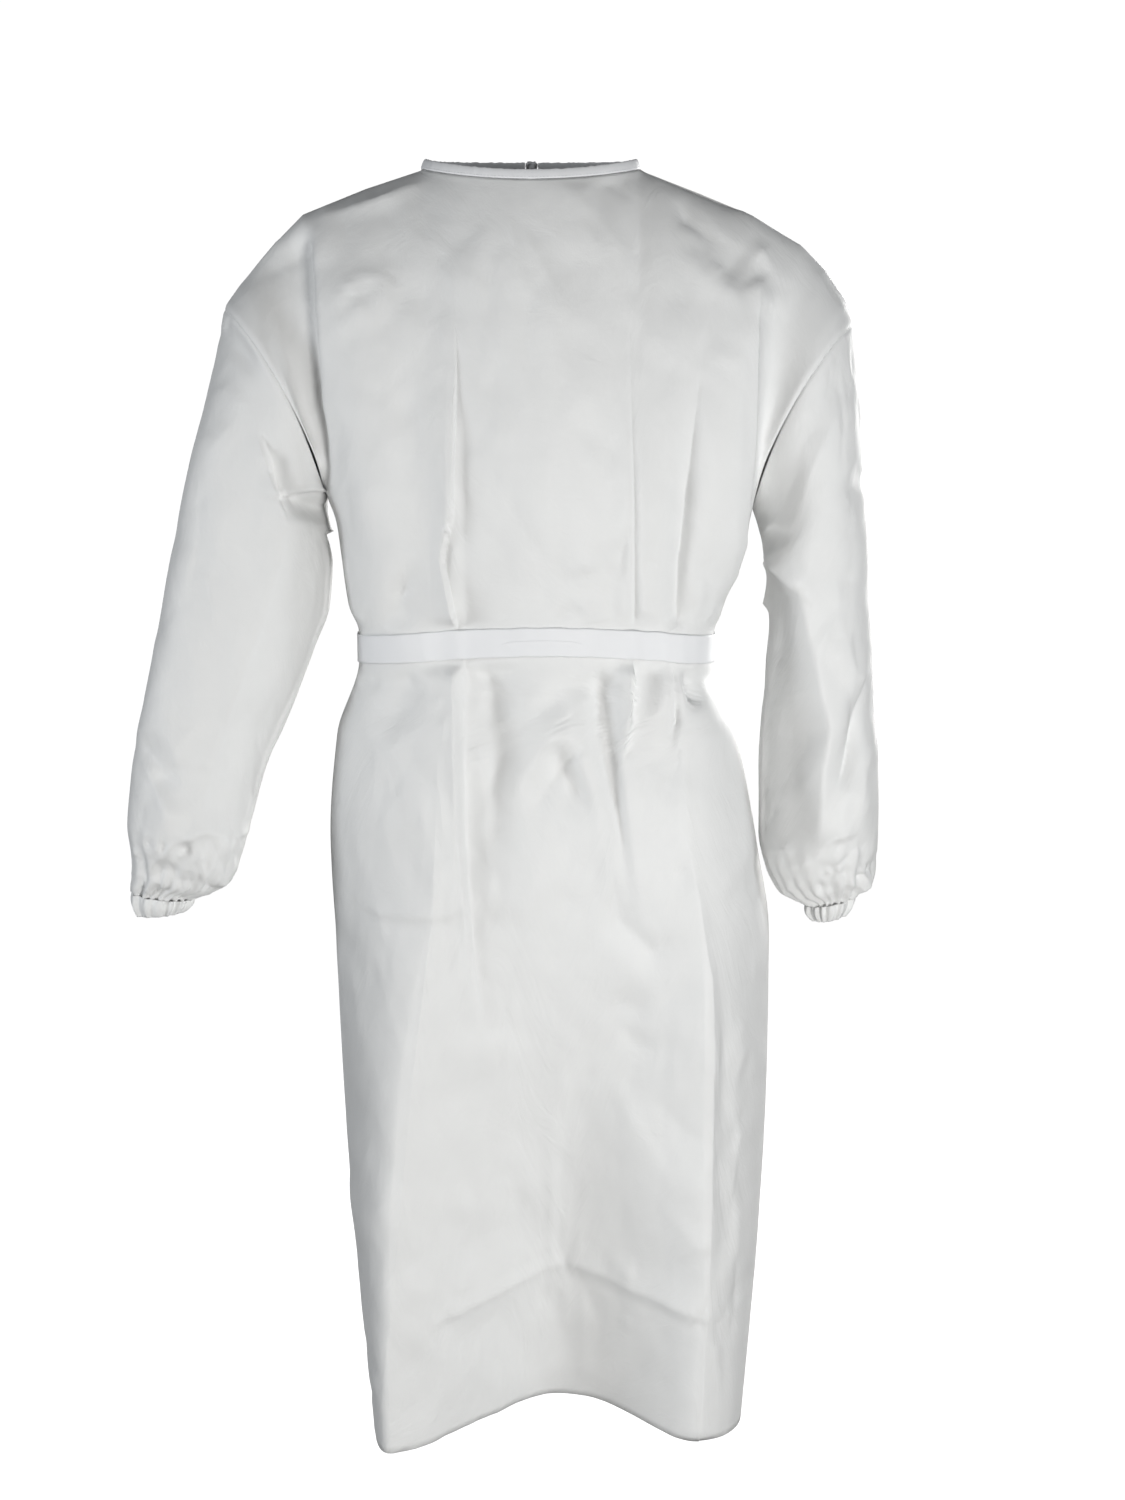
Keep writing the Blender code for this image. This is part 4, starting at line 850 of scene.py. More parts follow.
def panel_heights(base, front):
    """Heights of a panel's folds, and of its creases with its crumple, over its plain form."""
    x, z = base[..., 0], base[..., 2]
    tables = PANELS[front]
    fine = CREASE_RISE * crease_height(tables.creases, x, z)
    return fold_height(tables.folds, x, z), fine + crumpled(x, z, tables.seed)


def panel(u, rows, front, lift=0.0):
    """Outer points of a panel with all its folds and creases, and their flat places."""
    row = np.repeat(rows[:, None], u.shape[1], axis=1)
    base = body_point(u, row, front)
    facing = outward(base, (1 if front else -1) * (1 if u[0, -1] > u[0, 0] else -1))
    folds, fine = panel_heights(base, front)
    grip = belt_grip(base[..., 2], belt_middle(u, front))
    folds *= grip * smoothstep(0, FOLD_ROWS, row) * smoothstep(1.0, FOLD_U, np.abs(u))
    fine *= np.clip(grip + BELT_CREASES, 0, 1)
    across, down = arcs(base, 1), arcs(base, 0)
    from_seam = np.minimum(across, across[:, -1:] - across) if front else across
    fine *= smoothstep(0, SIDE_FADE, from_seam) * smoothstep(0, TOP_FADE, down)
    shoulder = np.where(np.abs(u) > NECK_U, down, FAR)
    relief = seam_relief(np.minimum(from_seam, shoulder))
    points = base + facing * (folds + fine + relief + lift)[..., None]
    flat = np.stack([across - across.mean(axis=1, keepdims=True), -down], axis=-1) * MM
    return points, flat


def linked(name, mesh, material):
    """A smooth object made from a bmesh."""
    bmesh.ops.recalc_face_normals(mesh, faces=mesh.faces[:])
    data = bpy.data.meshes.new(name)
    mesh.to_mesh(data)
    mesh.free()
    data.shade_smooth()
    data.materials.append(material)
    thing = bpy.data.objects.new(name, data)
    bpy.context.scene.collection.objects.link(thing)
    return thing


def cloth_object(name, points, flat, material, wall, tube=False):
    """A cloth piece on a grid of points, with its flat places as its UV map."""
    rows, columns = points.shape[:2]
    mesh = bmesh.new()
    bmesh.ops.create_grid(mesh, x_segments=columns - 1, y_segments=rows - 1, size=1.0)
    flat_map = mesh.loops.layers.uv.new("flat")
    place = {}
    for vertex in mesh.verts:
        j = round((vertex.co.x + 1) / 2 * (columns - 1))
        i = round((vertex.co.y + 1) / 2 * (rows - 1))
        place[vertex] = (i, j)
        vertex.co = points[i, j] * MM
    for face in mesh.faces:
        for loop in face.loops:
            loop[flat_map].uv = flat[place[loop.vert]]
    if tube:
        bmesh.ops.remove_doubles(mesh, verts=mesh.verts[:], dist=1e-6)
    thing = linked(name, mesh, material)
    if wall:
        shell = thing.modifiers.new("wall", "SOLIDIFY")
        shell.thickness = wall
        shell.offset = -1.0
        shell.use_even_offset = False
    return thing


def turn_out(thing, middle):
    """Makes a grid's faces point away from a place, for a sheet that isn't closed."""
    data = thing.data
    normals = np.zeros(len(data.polygons) * 3)
    centres = np.zeros(len(data.polygons) * 3)
    data.polygons.foreach_get("normal", normals)
    data.polygons.foreach_get("center", centres)
    away = centres.reshape(-1, 3) - np.array(middle)
    if (normals.reshape(-1, 3) * away).sum() < 0:
        data.flip_normals()


# Materials
def set_inputs(new, **values):
    """Sets inputs of a shader node, named with an underscore for each space."""
    for name, value in values.items():
        new.inputs[name.replace("_", " ")].default_value = value


def node(tree, kind, place, feature=None, **inputs):
    new = tree.nodes.new(kind)
    new.location = place
    if feature:
        new.feature = feature
    set_inputs(new, **inputs)
    return new


def blank_material(name):
    material = bpy.data.materials.new(name)
    material.use_nodes = True
    return material, material.node_tree, material.node_tree.nodes["Principled BSDF"]


def tinted(tree, places, texture, colours, stops=(0.0, 1.0)):
    """Colours the shader between two colours by a texture on the object's own places."""
    tree.links.new(places.outputs["Object"], texture.inputs["Vector"])
    tint = node(tree, "ShaderNodeValToRGB", (-900, 300))
    for element, colour, stop in zip(tint.color_ramp.elements, colours, stops):
        element.position = stop
        element.color = (*colour, 1.0)
    tree.links.new(texture.outputs[0], tint.inputs["Fac"])
    tree.links.new(tint.outputs["Color"], tree.nodes["Principled BSDF"].inputs["Base Color"])


def nonwoven(name, colour, source, crumple):
    """Film-coated nonwoven: faint mottling, soft crumple and fine bonding points."""
    if name in bpy.data.materials:
        return bpy.data.materials[name]
    settings = bpy.context.scene.gown_cloth
    material, tree, shader = blank_material(name)
    set_inputs(shader, Metallic=0.0, Specular_IOR_Level=settings.gloss,
               Sheen_Weight=settings.sheen, Sheen_Roughness=0.5)
    places = node(tree, "ShaderNodeTexCoord", (-1500, 0))
    mottle = node(tree, "ShaderNodeTexNoise", (-1200, 300), Scale=22.0, Detail=4.0, Roughness=0.6)
    high = getattr(settings, colour)
    low = [c * (1 - settings.mottle) for c in high]
    tinted(tree, places, mottle, (low, high), (0.3, 0.75))
    rough = node(tree, "ShaderNodeMapRange", (-900, 0),
                 To_Min=settings.roughness - ROUGHNESS_SPREAD,
                 To_Max=settings.roughness + ROUGHNESS_SPREAD)
    tree.links.new(mottle.outputs["Fac"], rough.inputs["Value"])
    tree.links.new(rough.outputs["Result"], shader.inputs["Roughness"])
    dots = node(tree, "ShaderNodeTexVoronoi", (-1200, -300), "SMOOTH_F1",
                Scale=1.0 / (EMBOSS_PITCH * MM), Randomness=0.35)
    waves = node(tree, "ShaderNodeTexNoise", (-1200, -600), Scale=34.0, Detail=5.0, Roughness=0.55,
                 Distortion=0.6)
    fine = node(tree, "ShaderNodeBump", (-300, -300), Strength=0.25, Distance=0.00006)
    soft = node(tree, "ShaderNodeBump", (-600, -500), Strength=crumple, Distance=0.0016)
    for texture, bump in ((dots, fine), (waves, soft)):
        tree.links.new(places.outputs[source], texture.inputs["Vector"])
        tree.links.new(texture.outputs[0], bump.inputs["Height"])
    tree.links.new(soft.outputs["Normal"], fine.inputs["Normal"])
    tree.links.new(fine.outputs["Normal"], shader.inputs["Normal"])
    return material


def cloth_material():
    return nonwoven("gown nonwoven", "colour", "UV", 0.6)


def trim_material():
    return nonwoven("belt nonwoven", "trim_colour", "UV", 0.2)


def knot_material():
    return nonwoven("knot nonwoven", "trim_colour", "Object", 0.3)


def thread_material():
    """White thread, with darker random flecks of painted shade for the grooves between its plies.
    """
    material, tree, shader = blank_material("thread")
    set_inputs(shader, Roughness=0.6)
    places = node(tree, "ShaderNodeTexCoord", (-1500, 0))
    # Painted shade: a fine noise darkens the thread in flecks, in place of the shade in its
    # grooves.
    twist_shade = node(tree, "ShaderNodeTexNoise", (-1200, 300), Scale=900.0)
    tinted(tree, places, twist_shade, ((0.55, 0.56, 0.58), (0.8, 0.8, 0.82)))
    return material


def finish_piece(thing, nodes=()):
    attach(thing, "root")
    if nodes:
        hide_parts(*nodes)


# Settings
def length_setting(name, description, default, low, high):
    return FloatProperty(name=name, description=description, default=default, min=low, max=high,
                         unit="LENGTH", subtype="DISTANCE")


def factor_setting(name, description, default, high=1):
    return FloatProperty(name=name, description=description, default=default, min=0, max=high,
                         subtype="FACTOR")


def colour_setting(name, description, default):
    return FloatVectorProperty(name=name, description=description, default=default, size=3, min=0,
                               max=1, subtype="COLOR")


def power_setting(name, description, default):
    return FloatProperty(name=name, description=description, default=default, min=0, max=1000,
                         unit="POWER")


class GownCloth(bpy.types.PropertyGroup):
    """Cloth of the gown."""
    wall: length_setting("Cloth thickness", "Thickness of the cloth shell", 0.0005, 0.0002, 0.002)
    colour: colour_setting("Cloth colour", "Colour of the gown's cloth", (0.80, 0.803, 0.798))
    trim_colour: colour_setting("Trim colour", "Colour of belt and binding", (0.83, 0.836, 0.85))
    roughness: factor_setting("Roughness", "Mean roughness of the cloth", 0.55)
    gloss: factor_setting("Gloss", "Specular level of the coating", 0.3)
    sheen: factor_setting("Sheen", "Weight of the soft sheen", 0.05)
    mottle: factor_setting("Mottling", "Depth of the cloth's faint mottling", 0.03, 0.3)
    front_rows: IntProperty(name="Front rows", description="Rows of the front's grid",
                            default=228, min=40, max=400)
    front_columns: IntProperty(name="Front columns", description="Columns of the front's grid",
                               default=216, min=40, max=400)


class GownTrim(bpy.types.PropertyGroup):
    """Belt, binding and thread."""
    belt_wall: length_setting("Belt thickness", "Thickness of the belt", 0.0009, 0.0003, 0.003)
    binding_height: length_setting("Binding height", "Height of the neck binding",
                                   0.009, 0.004, 0.02)
    thread: length_setting("Thread", "Diameter of the sewing thread", 0.0004, 0.0001, 0.002)


class GownStage(bpy.types.PropertyGroup):
    """Floor, lights and camera."""
    front_light: power_setting("Front light", "Power of the light in front", 36.0)
    left_light: power_setting("Left light", "Power of the light at the left", 25.0)
    right_light: power_setting("Right light", "Power of the light at the right", 8.0)
    back_light: power_setting("Back light", "Power of the light behind the gown", 85.0)
    surround: FloatProperty(name="Surround", description="Strength of the even light all round",
                            default=0.06, min=0, max=10)
    paper: FloatProperty(name="Paper glow", description="How bright the backdrop paper shows",
                         default=1.0, min=0, max=20)
    floor: length_setting("Floor height", "Height of the floor", -1.5, -3, -1.2)


# Pieces
class GOWN_OT_front(bpy.types.Operator):
    """Make the front panel"""
    bl_idname = "gown.front"
    bl_label = "Front panel"

    def execute(self, context):
        cloth = context.scene.gown_cloth
        rows = fine_rows(cloth.front_rows, True)
        ones = np.ones(len(rows))
        u = crowded_columns(rows, cloth.front_columns, True, -ones, ones)
        points, flat = panel(u, rows, True)
        thing = cloth_object("front_cloth", points, flat, cloth_material(), cloth.wall)
        turn_out(thing, (0, 0.06, -0.5))
        finish_piece(thing, ["front_panel"])
        return {"FINISHED"}


def back_edge(row):
    """Where a back ends past the centre line, as a share of its half width."""
    return NECK_EDGE_U - (NECK_EDGE_U + LAP_U) * smoothstep(0, LAP_END_ROW, row)


def lap_lift(u):
    """How far the outer back lies off the form, over the inner one."""
    return LAP_LIFT * smoothstep(*LAP_RISE, u)


class GOWN_OT_backs(bpy.types.Operator):
    """Make the two lapped back panels"""
    bl_idname = "gown.backs"
    bl_label = "Back panels"

    def execute(self, context):
        rows = fine_rows(BACK_ROWS, False)
        for side, sign in SIDES.items():
            start = np.full(len(rows), float(sign))
            u = crowded_columns(rows, BACK_COLUMNS, False, start, sign * back_edge(rows))
            over = lap_lift(u) * smoothstep(0, LAP_RISE_ROWS, rows[:, None])
            points, flat = panel(u, rows, False, over if side == "left" else 0.0)
            thing = cloth_object("back_" + side + "_cloth", points, flat, cloth_material(),
                                 context.scene.gown_cloth.wall)
            turn_out(thing, (0, -0.06, -0.5))
            finish_piece(thing, ["back_panel_" + side])
        return {"FINISHED"}


def sleeve_alongs():
    """Places along a sleeve, closer at the armhole seam and in the gathers."""
    along = np.linspace(0, SLEEVE_END, SLEEVE_SAMPLES)
    pull = 1 + ARMHOLE_PULL * bell(along, 0, ARMHOLE_PULL_WIDTH)
    pull += GATHER_PULL * smoothstep(GATHER_START, GATHER_PULL_END, along)
    return spaced(SLEEVE_ROWS, pull[1:], along)


def sleeve_flatness(along):
    """Stiff cloth hangs flatter than the round of its solid, away from its two seams."""
    share = smoothstep(*FLATTER_START, along) * smoothstep(*FLATTER_END, along)
    return SLEEVE_FLATTER * share


def gathers(angle, along, start, end, depth, seed):
    """Uneven gathers round a tube that grow from start to end."""
    dice = np.random.default_rng(seed)
    total = np.zeros(np.broadcast(angle, along).shape)
    for _ in range(GATHER_WAVES):
        turns = dice.integers(9, 26)
        phase = dice.uniform(0, 2 * math.pi)
        drift = dice.uniform(-0.004, 0.004)
        total += dice.uniform(0.4, 1.0) * np.sin(turns * angle + phase + drift * along)
    return depth * np.tanh(total / 4.0) * smoothstep(start, end, along)


def folded_away(side, x, z):
    """The part of a sleeve beside its long fold line, which turns away like a second panel."""
    line = np.array(SLEEVE_TURN[side], float)
    top, bottom = line[0, 1], line[-1, 1]
    place = np.interp(z, line[::-1, 1], line[::-1, 0])
    beyond = (place - x) * SIDES[side]
    share = smoothstep(top + 8, top - 4, z) * smoothstep(bottom - 4, bottom + 40, z)
    soft = (beyond + np.sqrt(beyond ** 2 + TURN_SOFTNESS)) / 2
    return -TURN_DEPTH * np.tanh(soft * TURN_SLOPE / TURN_DEPTH) * share


class GOWN_OT_sleeves(bpy.types.Operator):
    """Make the two sleeves"""
    bl_idname = "gown.sleeves"
    bl_label = "Sleeves"

    def execute(self, context):
        alongs = sleeve_alongs()
        angle = np.linspace(0, 2 * math.pi, SLEEVE_COLUMNS)
        for side, sign in SIDES.items():
            points = np.array([sleeve_ring(side, along, angle, sleeve_flatness(along))
                               for along in alongs])
            closed = np.concatenate([points[:, -2:-1], points, points[:, 1:2]], axis=1)
            facing = outward(closed, -sign)[:, 1:-1]
            turned = np.repeat(angle[None], len(alongs), axis=0)
            along = np.repeat(alongs[:, None], len(angle), axis=1)
            front = smoothstep(*FACING_FADE, -facing[..., 1])
            rear = smoothstep(*FACING_FADE, facing[..., 1])
            x, y, z = points[..., 0], points[..., 1], points[..., 2]
            creases = SLEEVE_CREASES[side]
            height = front * (fold_height(SLEEVE_FOLDS[side], x, z)
                              + CREASE_RISE * crease_height(creases, x, z))
            height += rear * CREASE_RISE * crease_height(creases, x, z + REAR_SHIFT)
            even = crumpled(x + CRUMPLE_DEPTH * y, z, SEED + 50 + sign)
            height += even * smoothstep(*EVEN_FADE, np.abs(facing[..., 1]))
            height *= smoothstep(0, SLEEVE_TOP_FADE, along)
            height += gathers(turned, along, GATHER_START, SLEEVE_END, GATHER_DEPTH, SEED + 31)
            height -= SEAM_GROOVE * bell(along, 0, SEAM_GROOVE_WIDTH)
            flat = laid_flat(points)
            away = folded_away(side, x, z) * front
            points = points + facing * height[..., None]
            points[..., 1] -= away
            points[:, -1] = points[:, 0]
            thing = cloth_object("sleeve_" + side + "_cloth", points, flat, cloth_material(),
                                 context.scene.gown_cloth.wall, tube=True)
            turn_out(thing, points.mean(axis=(0, 1)) * MM)
            finish_piece(thing, ["sleeve_" + side])
        return {"FINISHED"}


class GOWN_OT_cuffs(bpy.types.Operator):
    """Make the gathered elastic cuffs"""
    bl_idname = "gown.cuffs"
    bl_label = "Cuffs"

    def execute(self, context):
        angle = np.linspace(0, 2 * math.pi, CUFF_COLUMNS)
        share = np.linspace(0, 1, CUFF_ROWS)[:, None]
        for side in SIDES:
            start = sleeve_ring(side, SLEEVE_END, angle)
            end = sleeve_ring(side, CUFF_ENDS[side].along, angle)
            spread = start - start[:-1].mean(axis=0)
            spread[:, 2] = 0
            points = start + (end - start) * share[..., None]
            turned = np.repeat(angle[None], CUFF_ROWS, axis=0)
            wave = gathers(turned, 0 * turned, -2, -1, CUFF_WAVE, SEED + 31)
            crimp = gathers(turned, 40 * share + 0 * turned, -2, -1, CUFF_CRIMP, SEED + 33)
            swell = (CUFF_SWELL + crimp) * np.sin(math.pi * share)
            points = points + unit(spread) * (swell + wave)[..., None]
            points[:, -1] = points[:, 0]
            thing = cloth_object("cuff_" + side + "_cloth", points, laid_flat(points),
                                 cloth_material(), CUFF_WALL, tube=True)
            turn_out(thing, points.mean(axis=(0, 1)) * MM)
            finish_piece(thing, ["cuff_" + side])
        return {"FINISHED"}


def neck_ring():
    """The neck edge from the centre back round the wearer's right to the centre back."""
    turn = 2 / math.pi * math.asin(BINDING_GAP / NECK_HALF_WIDTH)
    back = np.linspace(NECK_U, NECK_U * turn, 60)
    front = np.linspace(-NECK_U, NECK_U, 141)[1:-1]
    return np.concatenate([top_edge(-back[::-1], False), top_edge(front, True),
                           top_edge(back, False)])


def random_waves(along, count, slow, fast, low, seed):
    """A sum of waves along a strip, of random pitch and height."""
    dice = np.random.default_rng(seed)
    total = np.zeros_like(along)
    for _ in range(count):
        wave = np.sin(along * dice.uniform(slow, fast) + dice.uniform(0, 6.3))
        total += wave * dice.uniform(low, 1)
    return total


def eased(value, exponent):
    return np.copysign(np.abs(value) ** exponent, value)


class GOWN_OT_neck_binding(bpy.types.Operator):
    """Make the narrow binding round the neck"""
    bl_idname = "gown.neck_binding"
    bl_label = "Neck binding"

    def execute(self, context):
        ring = neck_ring()
        out, up = neck_frame(ring)
        high = context.scene.gown_trim.binding_height / MM
        crimp = np.tanh(random_waves(arcs(ring, 0), 14, 0.25, 1.3, 0.3, SEED + 51) / 3)
        points = []
        for t in np.linspace(0, 2 * math.pi, BINDING_COLUMNS):
            level = -math.cos(t)
            rise = BINDING_OFF + high * (0.5 + 0.5 * level) + crimp * 0.45 * max(level, 0)
            thick = BINDING_HALF * eased(math.sin(t), 0.8) * (1.0 + 0.25 * level)
            puff = 0.5 * max(math.sin(t), 0) * (0.5 + 0.5 * crimp)
            points.append(ring + up * rise[:, None] + out * (thick + puff + BINDING_OFF)[:, None])
        points = np.array(points).transpose(1, 0, 2)
        thing = cloth_object("neck_binding_cloth", points, laid_flat(points), trim_material(), 0,
                             tube=True)
        finish_piece(thing, ["neck_binding"])
        return {"FINISHED"}


def belt_strip(u, front, lift, levels):
    """Rows of points down the belt over one panel, lift off the panel."""
    share = np.linspace(0, 1, levels)[:, None, None]
    columns = np.repeat(u[None, :], 2, axis=0)
    plan = front_plan if front else back_plan
    points = plan(columns, np.array([[BELT_TOP], [BELT_BOTTOM]]) + 0.0 * columns)
    facing = outward(points, (1 if front else -1) * (1 if u[-1] > u[0] else -1))
    facing[..., 2] = 0.0
    facing = unit(facing)
    edge = points + facing * np.broadcast_to(lift, u.shape)[None, :, None]
    return (edge[:1] + (edge[1:] - edge[:1]) * share,
            unit(facing[:1] + (facing[1:] - facing[:1]) * share))


def right_lap(u):
    """How far the right half of the belt lies off the form, up to the lap."""
    return LAP_LIFT * smoothstep(*BELT_RISE, u)


def share_of_turn(x, z):
    """The back's column that holds a place x at a height z."""
    level = level_at(np.array(z, float))
    middle = (level.right + level.left) / 2
    edge = level.left if x > middle else level.right
    turn = math.acos(((x - middle) / (edge - middle)) ** (BACK_ROUND / 2))
    return math.copysign(1 - turn / (math.pi / 2), x - middle)


class GOWN_OT_waist_belt(bpy.types.Operator):
    """Make the flat belt from the waist knot round the body"""
    bl_idname = "gown.waist_belt"
    bl_label = "Waist belt"

    def execute(self, context):
        left_u = np.linspace(1.0, share_of_turn(BELT_END, BELT_TOP), BELT_BACK_COLUMNS)
        right_u = np.linspace(share_of_turn(-BELT_END, BELT_TOP), -1.0, BELT_BACK_COLUMNS)
        front_u = np.linspace(-1, 1, BELT_FRONT_COLUMNS)
        right = belt_strip(right_u, False, BELT_OFF_BACK + right_lap(right_u), BELT_LEVELS)
        front = belt_strip(front_u, True, BELT_OFF_FRONT, BELT_LEVELS)
        left = belt_strip(left_u, False, BELT_OFF_BACK + lap_lift(left_u), BELT_LEVELS)
        points, out = [np.concatenate([right[i][:, :-1], front[i], left[i][:, 1:]], axis=1)
                       for i in (0, 1)]
        x = points[..., 0]
        in_front = points[..., 1] < BELT_FRONT_Y
        ripple = random_waves(arcs(points, 1), 12, 0.03, 0.35, 0.2, SEED + 61)
        down = np.linspace(-1, 1, BELT_LEVELS)[:, None]
        proud = BELT_RIPPLE * np.tanh(ripple / 2.5) * (0.35 + 0.65 * np.abs(down))
        proud += in_front * sum(rise * bell(x, place, width) for place, width, rise in BELT_LUMPS)
        middle_z = points[BELT_LEVELS // 2, :, 2]
        weld = bell(points[..., 2] - middle_z, -1.0, 0.9) * in_front
        proud -= WELD_DEPTH * weld * smoothstep(-25, -22, x) * smoothstep(38, 35, x)
        points = points + out * proud[..., None]
        points[..., 2] += BELT_WAVE * np.tanh(ripple[:1] / 3)
        thing = cloth_object("waist_belt_cloth", points, laid_flat(points), trim_material(),
                             context.scene.gown_trim.belt_wall)
        turn_out(thing, (0, 0, -0.42))
        thing.modifiers["wall"].offset = 1.0
        finish_piece(thing, ["waist_belt"])
        return {"FINISHED"}


def on_back(x, row):
    """Places of the back at x and a row, found by halving."""
    low, high = np.full_like(x, -NECK_U), np.full_like(x, NECK_U)
    for _ in range(40):
        middle = (low + high) / 2
        short = body_point(middle, row, False)[..., 0] < x
        low, high = np.where(short, middle, low), np.where(short, high, middle)
    return body_point(middle, row, False)


def make_tie(name, rows, places, width, seed):
    """A free end that hangs down the back from its knot, a little curled and wavy."""
    share = np.linspace(0, 1, TIE_LEVELS)
    dice = np.random.default_rng(seed)
    middle = places[0] + (places[1] - places[0]) * smoothstep(0, 1, share)
    middle += TIE_SWAY * np.sin(share * dice.uniform(5, 8)) * share * (1 - share) * 4
    pinch = TIE_PINCH + (1 - TIE_PINCH) * smoothstep(0, 0.15, share)
    across = np.linspace(-1, 1, TIE_COLUMNS)
    x = middle[:, None] - across * width / 2 * pinch[:, None]
    row = np.repeat(np.linspace(*rows, TIE_LEVELS)[:, None], TIE_COLUMNS, axis=1)
    points = on_back(x, row)
    facing = outward(points, 1)
    lift = TIE_OFF + LAP_LIFT * smoothstep(0, LAP_RISE_ROWS, row)
    lift += TIE_OVER_BELT * (1 - smoothstep(0.03, 0.09, share))[:, None]
    wave = sum(dice.uniform(0.2, 0.6) * np.sin(share * dice.uniform(6, 34) + dice.uniform(0, 6))
               for _ in range(5))
    body = TIE_WAVE * (wave[:, None] + 1.0) + TIE_CURL * across ** 2
    body += TIE_TWIST * across * np.sin(share * 9 + seed)[:, None]
    under = np.maximum(sum(panel_heights(points, False)), 0).max(axis=1, keepdims=True)
    points = points + facing * (lift + under + np.maximum(body, 0))[..., None]
    thing = cloth_object(name + "_cloth", points, laid_flat(points), trim_material(), TIE_WALL)
    turn_out(thing, (0, 0, float(points[..., 2].mean()) * MM))
    finish_piece(thing, [name])


def make_knot(name, middle, size, seed):
    """A small knot of pulled cloth: a creased middle with a band drawn over it."""
    down = np.linspace(0, math.pi, KNOT_ROWS)[:, None]
    around = np.linspace(0, 2 * math.pi, KNOT_COLUMNS)
    x, y = np.sin(down) * np.cos(around), np.sin(down) * np.sin(around)
    z = np.cos(down) + 0 * around
    # Pleats run round the knot, and a band slants over it with a groove along each side
    turn, reach = np.arctan2(z, x), np.hypot(x, z)
    phase = np.random.default_rng(seed).uniform(0, 6.3, 2)
    pleat = 0.08 * np.sin(7 * turn + phase[0]) + 0.06 * np.sin(12 * turn + phase[1])
    off = x * 0.86 - z * 0.5
    band = np.exp(-(off / 0.3) ** 4)
    edge = bell(np.abs(off), 0.42, 0.08)
    grain = 0.03 * np.sin(26 * (x * 0.5 + z * 0.86))
    shares = (0.97 - 0.13 * band + 0.5 * pleat * reach,
              0.74 + pleat * reach * (1 - band) + 0.26 * band - 0.2 * edge + grain * band,
              0.92 - 0.1 * edge + 0.5 * pleat * reach)
    points = np.stack([eased(place, exponent) * share * wide / 2 for place, exponent, share, wide
                       in zip((x, y, z), KNOT_SQUARE, shares, size)], axis=-1) + middle
    thing = cloth_object(name + "_cloth", points, laid_flat(points), knot_material(), 0, tube=True)
    finish_piece(thing, [name])


class GOWN_OT_closures(bpy.types.Operator):
    """Make the knots and free ends at the neck and the waist"""
    bl_idname = "gown.closures"
    bl_label = "Knots and ties"

    def execute(self, context):
        level = level_at((BELT_TOP + BELT_BOTTOM) / 2)
        z = float(belt_middle(np.zeros(1), False)[0])
        middle = (0.0, float(level.back) + LAP_LIFT + WAIST_KNOT_OFF + WAIST_KNOT[1] / 2, z)
        make_knot("waist_knot", middle, WAIST_KNOT, SEED + 71)
        rise = NECK_KNOT_RISE - NECK_BACK_DROP + NECK_KNOT[2] / 2
        middle = (0.0, NECK_BACK_REACH + NECK_KNOT[1] / 2 - NECK_KNOT_SUNK, rise)
        make_knot("neck_knot", middle, NECK_KNOT, SEED + 72)
        for side, sign in SIDES.items():
            waist = [sign * x for x in WAIST_TIE_X]
            make_tie("waist_tie_" + side, WAIST_TIE_ROWS, waist, WAIST_TIE_WIDTH, SEED + 73 + sign)
            neck = [sign * x for x in NECK_TIE_X]
            make_tie("neck_tie_" + side, NECK_TIE_ROWS, neck, NECK_TIE_WIDTH, SEED + 76 + sign)
        return {"FINISHED"}


def stitch_row(name, points, facing, pitch, length, thick, material):
    """Short thread stitches laid along a line of points, as one piece."""
    along = arcs(points, 0)

    def at(place, values):
        return np.array([np.interp(place, along, values[:, i]) for i in range(3)])

    mesh = bmesh.new()
    for k in range(int(along[-1] / pitch)):
        here = (k + 0.5) * pitch
        place = at(here, points)
        out = unit(at(here, facing))
        way = unit(at(here + 0.3, points) - place)
        side = unit(np.cross(way, out))
        turn = Matrix((way * length / 2, side * thick / 2, out * thick / 2)).transposed().to_4x4()
        turn.translation = Vector(place)
        bmesh.ops.create_icosphere(mesh, subdivisions=1, radius=1.0,
                                   matrix=Matrix.Scale(MM, 4) @ turn)
    finish_piece(linked(name, mesh, material))


class GOWN_OT_stitches(bpy.types.Operator):
    """Make the visible stitches of binding and belt"""
    bl_idname = "gown.stitches"
    bl_label = "Stitches"

    def execute(self, context):
        thick = context.scene.gown_trim.thread / MM
        material = thread_material()
        ring = neck_ring()
        out, up = neck_frame(ring)
        line = ring + up * 1.5 + out * 1.15
        stitch_row("binding_stitches", line, out, *BINDING_STITCH, thick, material)
        strip, facing = belt_strip(np.linspace(-0.3, 0.3, 200), True, 2.1, 3)
        start, end = BELT_STITCH_X
        inside = (strip[1, :, 0] > start) & (strip[1, :, 0] < end)
        line, facing = strip[1][inside], facing[1][inside]
        x = line[:, 0]
        line[:, 2] += 0.6 + 0.9 * np.sin((x - start) / (end - start) * math.pi)
        line[:, 2] -= 1.4 * (bell(x, end - 1, 5) + bell(x, start + 1, 4))
        stitch_row("belt_stitches", line, facing, *BELT_STITCH, thick, material)
        return {"FINISHED"}


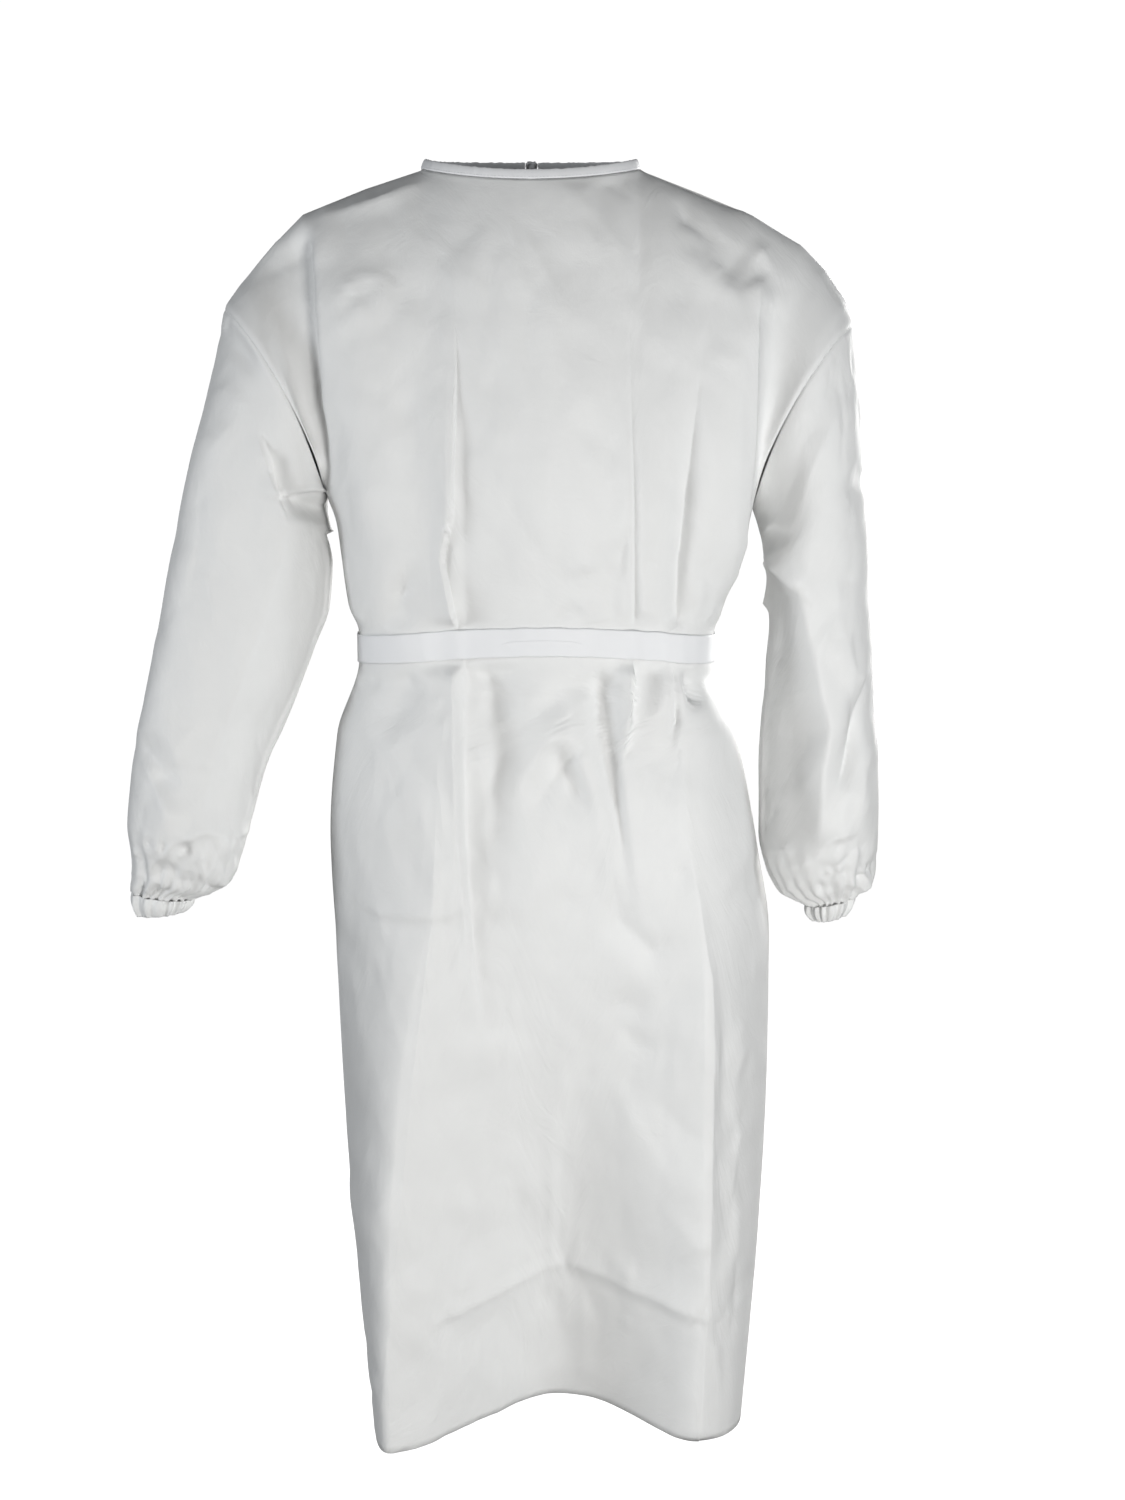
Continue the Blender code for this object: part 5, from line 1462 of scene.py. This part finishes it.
class GOWN_OT_stage(bpy.types.Operator):
    """Make the floor, the lights and the camera"""
    bl_idname = "gown.stage"
    bl_label = "Stage"

    def execute(self, context):
        stage = context.scene.gown_stage
        self.backdrop(stage)
        self.lights(context.scene, stage)
        self.camera(context.scene)
        return {"FINISHED"}

    def backdrop(self, stage):
        """A round pale floor that turns up into a low wall far away, the same all round."""
        mesh = bmesh.new()
        profile = [(0.0, 0.0), (2.0, 0.0), (FLOOR_REACH, 0.0)]
        profile += [(FLOOR_REACH + WALL_BEND * math.sin(t), WALL_BEND * (1 - math.cos(t)))
                    for t in np.linspace(0.12, math.pi / 2, 12)]
        profile.append((FLOOR_REACH + WALL_BEND, WALL_HEIGHT))
        points = [mesh.verts.new((x, 0.0, stage.floor + z)) for x, z in profile]
        edges = [mesh.edges.new(pair) for pair in zip(points[:-1], points[1:])]
        bmesh.ops.spin(mesh, geom=points + edges, cent=(0, 0, 0), axis=(0, 0, 1),
                       angle=2 * math.pi, steps=96, use_merge=True)
        bmesh.ops.remove_doubles(mesh, verts=mesh.verts[:], dist=1e-5)
        material, tree, shader = blank_material("stage paper")
        set_inputs(shader, Base_Color=(0.3, 0.3, 0.3, 1.0), Roughness=0.9, Specular_IOR_Level=0.1,
                   Emission_Color=(1.0, 1.0, 1.0, 1.0))
        path = node(tree, "ShaderNodeLightPath", (-500, 0))
        glow = node(tree, "ShaderNodeMapRange", (-250, 0), To_Min=0.0, To_Max=stage.paper)
        tree.links.new(path.outputs["Is Camera Ray"], glow.inputs["Value"])
        tree.links.new(glow.outputs["Result"], shader.inputs["Emission Strength"])
        floor = linked("stage_floor", mesh, material)
        if floor.data.polygons[0].normal.z < 0:
            floor.data.flip_normals()

    def lights(self, scene, stage):
        scene.world = scene.world or bpy.data.worlds.new("World")
        scene.world.use_nodes = True
        set_inputs(scene.world.node_tree.nodes["Background"], Color=(1.0, 1.0, 1.0, 1.0),
                   Strength=stage.surround)
        scene.view_settings.view_transform = "Standard"
        for side, place, aim, size, tone in LAMPS:
            name = side + " light"
            data = bpy.data.lights.new(name, "AREA")
            data.energy = getattr(stage, side + "_light")
            data.size = size
            data.color = tone
            lamp = bpy.data.objects.new(name, data)
            lamp.visible_camera = False
            lamp.location = place
            way = Vector(aim) - Vector(place)
            lamp.rotation_euler = way.to_track_quat("-Z", "Y").to_euler()
            scene.collection.objects.link(lamp)

    def camera(self, scene):
        data = bpy.data.cameras.new("camera")
        data.sensor_fit = "VERTICAL"
        data.sensor_height = 36.0
        data.lens = 66.475
        thing = bpy.data.objects.new("camera", data)
        thing.location = (0.0275, -2.45, -0.25)
        thing.rotation_euler = (math.radians(90.0 - 6.1987), 0.0, 0.0)
        scene.collection.objects.link(thing)
        scene.camera = thing


class GOWN_PT_panel(bpy.types.Panel):
    """Lists the gown's settings and its pieces"""
    bl_idname = "GOWN_PT_panel"
    bl_label = "Isolation gown"
    bl_space_type = "VIEW_3D"
    bl_region_type = "UI"
    bl_category = "Gown"

    def draw(self, context):
        for group in ("gown_cloth", "gown_trim", "gown_stage"):
            box = self.layout.box()
            settings = getattr(context.scene, group)
            for name in settings.__annotations__:
                box.prop(settings, name)
        for operator in OPERATORS:
            self.layout.operator(operator.bl_idname)


OPERATORS = (GOWN_OT_front, GOWN_OT_backs, GOWN_OT_sleeves, GOWN_OT_cuffs, GOWN_OT_neck_binding,
             GOWN_OT_waist_belt, GOWN_OT_closures, GOWN_OT_stitches, GOWN_OT_stage)
GROUPS = (GownCloth, GownTrim, GownStage)


def register():
    for item in GROUPS + OPERATORS + (GOWN_PT_panel,):
        bpy.utils.register_class(item)
    bpy.types.Scene.gown_cloth = PointerProperty(type=GownCloth)
    bpy.types.Scene.gown_trim = PointerProperty(type=GownTrim)
    bpy.types.Scene.gown_stage = PointerProperty(type=GownStage)


def unregister():
    del bpy.types.Scene.gown_cloth
    del bpy.types.Scene.gown_trim
    del bpy.types.Scene.gown_stage
    for item in reversed(GROUPS + OPERATORS + (GOWN_PT_panel,)):
        bpy.utils.unregister_class(item)


def main():
    register()
    for operator in OPERATORS:
        group, name = operator.bl_idname.split(".")
        getattr(getattr(bpy.ops, group), name)()


if __name__ == "__main__":
    main()
